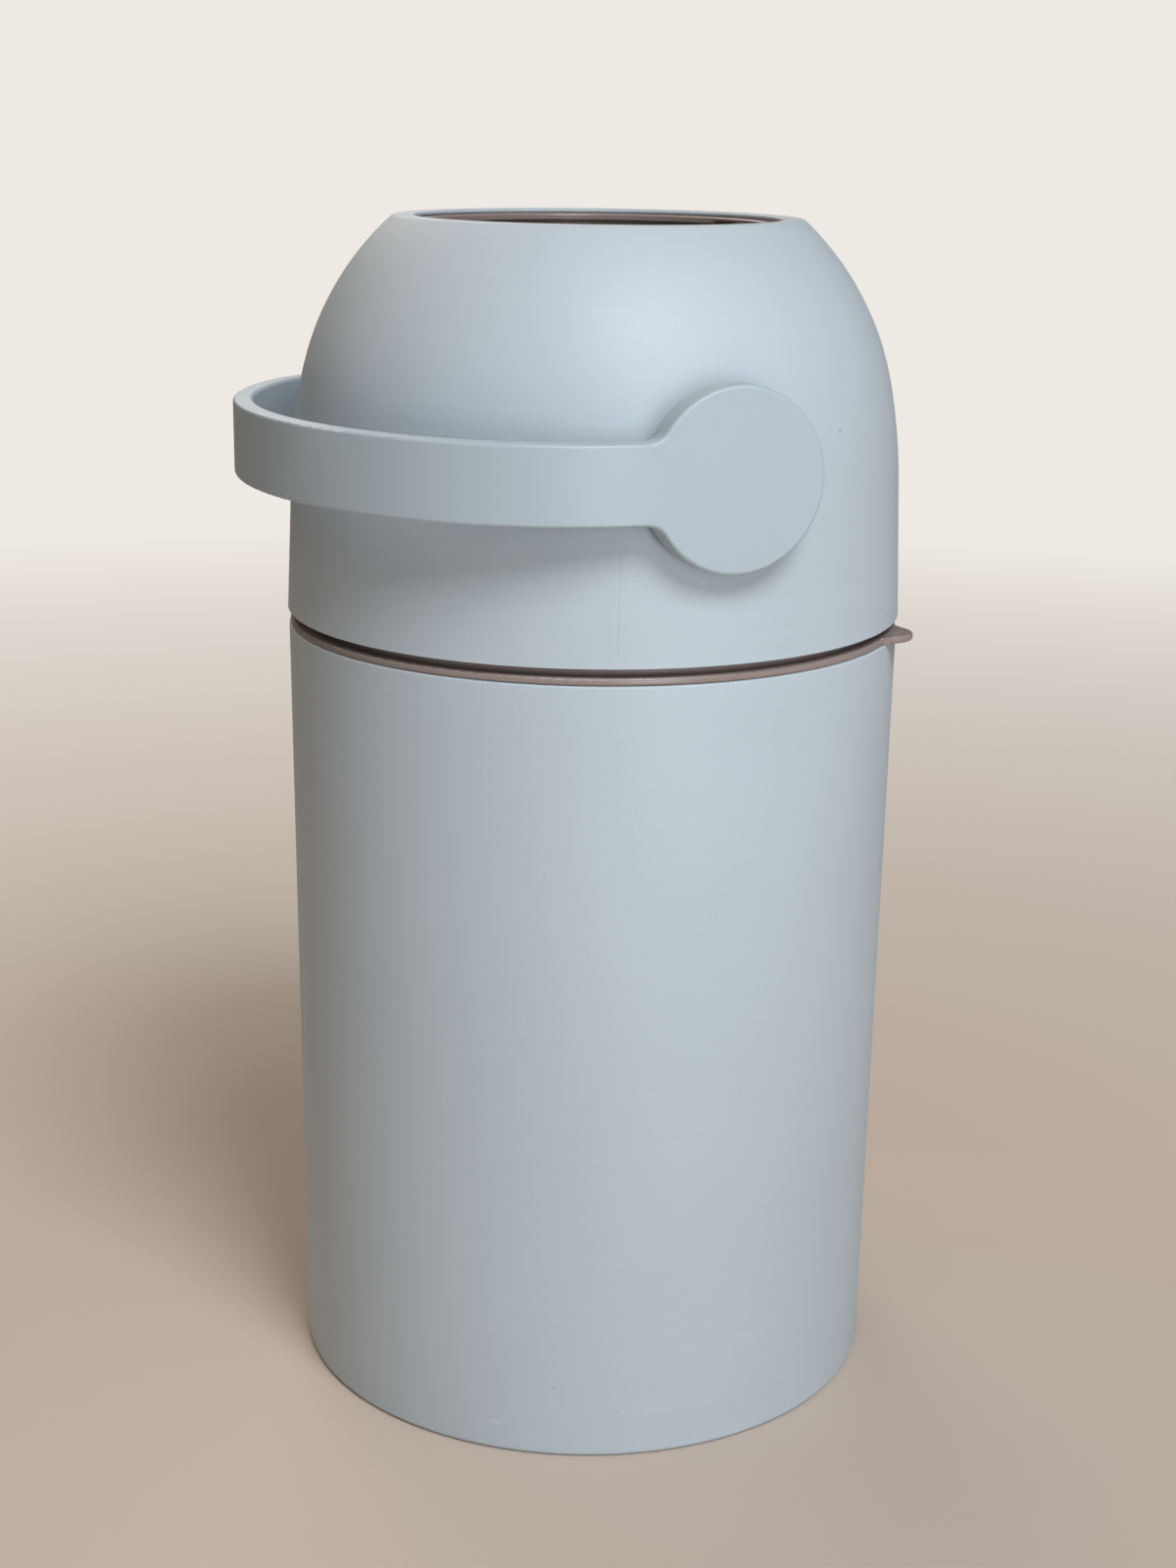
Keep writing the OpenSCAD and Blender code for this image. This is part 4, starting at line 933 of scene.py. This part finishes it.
def screw_tree():
    """Screws spread about Z, with their shanks pointing up, or outwards at a Tilt of a quarter
    turn. The thread is a helix pressed into the shank's grid, and the socket's round wall is
    pushed out to a hexagon."""
    tree, given, made = tree_with(
        "screws",
        [
            ("Count", "NodeSocketInt", 6),
            ("First Share", "NodeSocketFloat", 0.5),
            ("Circle Radius", "NodeSocketFloat", 0.1),
            ("Seat Height", "NodeSocketFloat", 0.0),
            ("Tilt", "NodeSocketFloat", 0.0),
            ("Length", "NodeSocketFloat", 0.014),
            ("Head Radius", "NodeSocketFloat", HEAD_RADIUS),
            ("Head Height", "NodeSocketFloat", HEAD_HEIGHT),
            ("Shank Radius", "NodeSocketFloat", 0.00175),
            ("Socket Radius", "NodeSocketFloat", 0.0016),
            ("Socket Depth", "NodeSocketFloat", 0.0015),
            ("Thread Depth", "NodeSocketFloat", 0.00035),
            ("Head Rounding", "NodeSocketFloat", 0.0007),
            ("Edge Rounding", "NodeSocketFloat", 0.0001),
            ("Material", "NodeSocketMaterial", None),
        ],
    )
    value = given.outputs
    head_low = maths(tree, "MULTIPLY", value["Head Height"], -1.0)
    socket_floor = maths(tree, "ADD", head_low, value["Socket Depth"])
    head = turned_about_z(tree, section_curve(tree, [
        (0.0, socket_floor, 0.0),
        (value["Socket Radius"], socket_floor, 0.0),
        (value["Socket Radius"], head_low, value["Edge Rounding"]),
        (value["Head Radius"], head_low, value["Head Rounding"]),
        (value["Head Radius"], 0.0, value["Edge Rounding"]),
        (0.0, 0.0, 0.0),
    ], rounding_steps=4), HEAD_STEPS)

    # the socket: flats where a round wall would be
    here = add_node(tree, "GeometryNodeInputPosition").outputs["Position"]
    parts = add_node(tree, "ShaderNodeSeparateXYZ")
    feed(tree, parts.inputs["Vector"], here)
    across = maths(tree, "MULTIPLY", parts.outputs["X"], parts.outputs["X"])
    across = maths(tree, "MULTIPLY_ADD", parts.outputs["Y"], parts.outputs["Y"], across)
    across = maths(tree, "SQRT", across)
    angle = maths(tree, "ARCTAN2", parts.outputs["Y"], parts.outputs["X"])
    angle = maths(tree, "ADD", angle, math.tau)
    angle = maths(tree, "SUBTRACT", maths(tree, "MODULO", angle, math.pi / 3), math.pi / 6)
    flat = maths(tree, "DIVIDE", math.cos(math.pi / 6), maths(tree, "COSINE", angle))
    socket_edge = maths(tree, "ADD", value["Socket Radius"], SOCKET_MARGIN)
    in_socket = maths(tree, "LESS_THAN", across, socket_edge)
    grow = maths(tree, "MULTIPLY_ADD", maths(tree, "SUBTRACT", flat, 1.0), in_socket, 1.0)
    hexagon = add_node(tree, "GeometryNodeSetPosition")
    feed(tree, hexagon.inputs["Geometry"], head)
    feed(tree, hexagon.inputs["Position"], combined(
        tree,
        x=maths(tree, "MULTIPLY", parts.outputs["X"], grow),
        y=maths(tree, "MULTIPLY", parts.outputs["Y"], grow),
        z=parts.outputs["Z"],
    ))

    # the shank: a grid wrapped round Z, its first and last rows drawn in to the axis
    rows = maths(tree, "DIVIDE", value["Length"], SCREW_PITCH / STEPS_PER_PITCH)
    rows = maths(tree, "CEIL", rows)
    grid, row, share = grid_to_wrap(tree, rows, SHANK_STEPS)
    last_row = maths(tree, "SUBTRACT", rows, 1)
    along = maths(tree, "DIVIDE", row, last_row)
    full_length = maths(tree, "ADD", value["Length"], SHANK_ROOT)
    height = maths(tree, "MULTIPLY_ADD", along, full_length, -SHANK_ROOT)
    phase = maths(tree, "SUBTRACT", maths(tree, "DIVIDE", height, SCREW_PITCH), share)
    wave = maths(tree, "PINGPONG", maths(tree, "MULTIPLY", phase, 2.0), 1.0)
    radius = maths(tree, "MULTIPLY", maths(tree, "SUBTRACT", wave, 1.0), value["Thread Depth"])
    radius = maths(tree, "ADD", radius, value["Shank Radius"])
    taper = maths(tree, "MULTIPLY", maths(tree, "SUBTRACT", last_row, row), POINT_STEP)
    taper = maths(tree, "MINIMUM", taper, 1.0)
    taper = maths(tree, "MULTIPLY", taper, maths(tree, "MINIMUM", row, 1.0))
    outline = combined(tree, x=maths(tree, "MULTIPLY", radius, taper), z=height)
    shank = wrapped_about_z(tree, grid, outline, share)

    screw = add_node(tree, "GeometryNodeJoinGeometry")
    feed(tree, screw.inputs["Geometry"], hexagon.outputs["Geometry"])
    feed(tree, screw.inputs["Geometry"], shank)
    seat = combined(tree, x=value["Circle Radius"], z=value["Seat Height"])
    placed = add_node(tree, "GeometryNodeTransform")
    feed(tree, placed.inputs["Geometry"], screw.outputs["Geometry"])
    feed(tree, placed.inputs["Translation"], seat)
    feed(tree, placed.inputs["Rotation"], combined(tree, y=value["Tilt"]))
    copies = spread_about_z(tree, placed.outputs["Geometry"], value["Count"], value["First Share"])
    end_tree(tree, made, copies, value["Material"])
    return tree


zinc = zinc_plate()
screws = screw_tree()


def screw_set(node, name, body_name, values):
    values["Material"] = zinc
    piece = finished(grown(name, screws, values))
    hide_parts(node)
    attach(piece, body_name)


def upright_screws(node, name, body_name, count, first_share, reach):
    """Screws that point up. reach is how far the outermost head's middle lies from the centre
    line, as a share of the circle's radius."""
    low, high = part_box(node)
    screw_set(node, name, body_name, {
        "Count": count,
        "First Share": first_share,
        "Circle Radius": (high.y - HEAD_RADIUS) / reach,
        "Seat Height": low.z + HEAD_HEIGHT,
        "Length": high.z - low.z - HEAD_HEIGHT,
    })


upright_screws("head_screws", "base_screws", "head", 6, 0.5, 1.0)
upright_screws("drum_screws", "joint_screws", "drum", 4, 0.5, math.cos(math.radians(45)))
upright_screws("piston_screws", "plate_screws", "piston", 3, 0.75, 1.0)
PIN_SCREW_SEAT = 0.108          # from the centre line to the underside of each pin screw's head
pin_low, pin_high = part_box("pivot_screws")
screw_set("pivot_screws", "pin_screws", "drum", {
    "Count": 2,
    "First Share": 0.0,
    "Circle Radius": PIN_SCREW_SEAT,
    "Seat Height": (pin_low.z + pin_high.z) / 2,
    "Tilt": math.radians(90),
    "Length": pin_high.x - PIN_SCREW_SEAT,
})
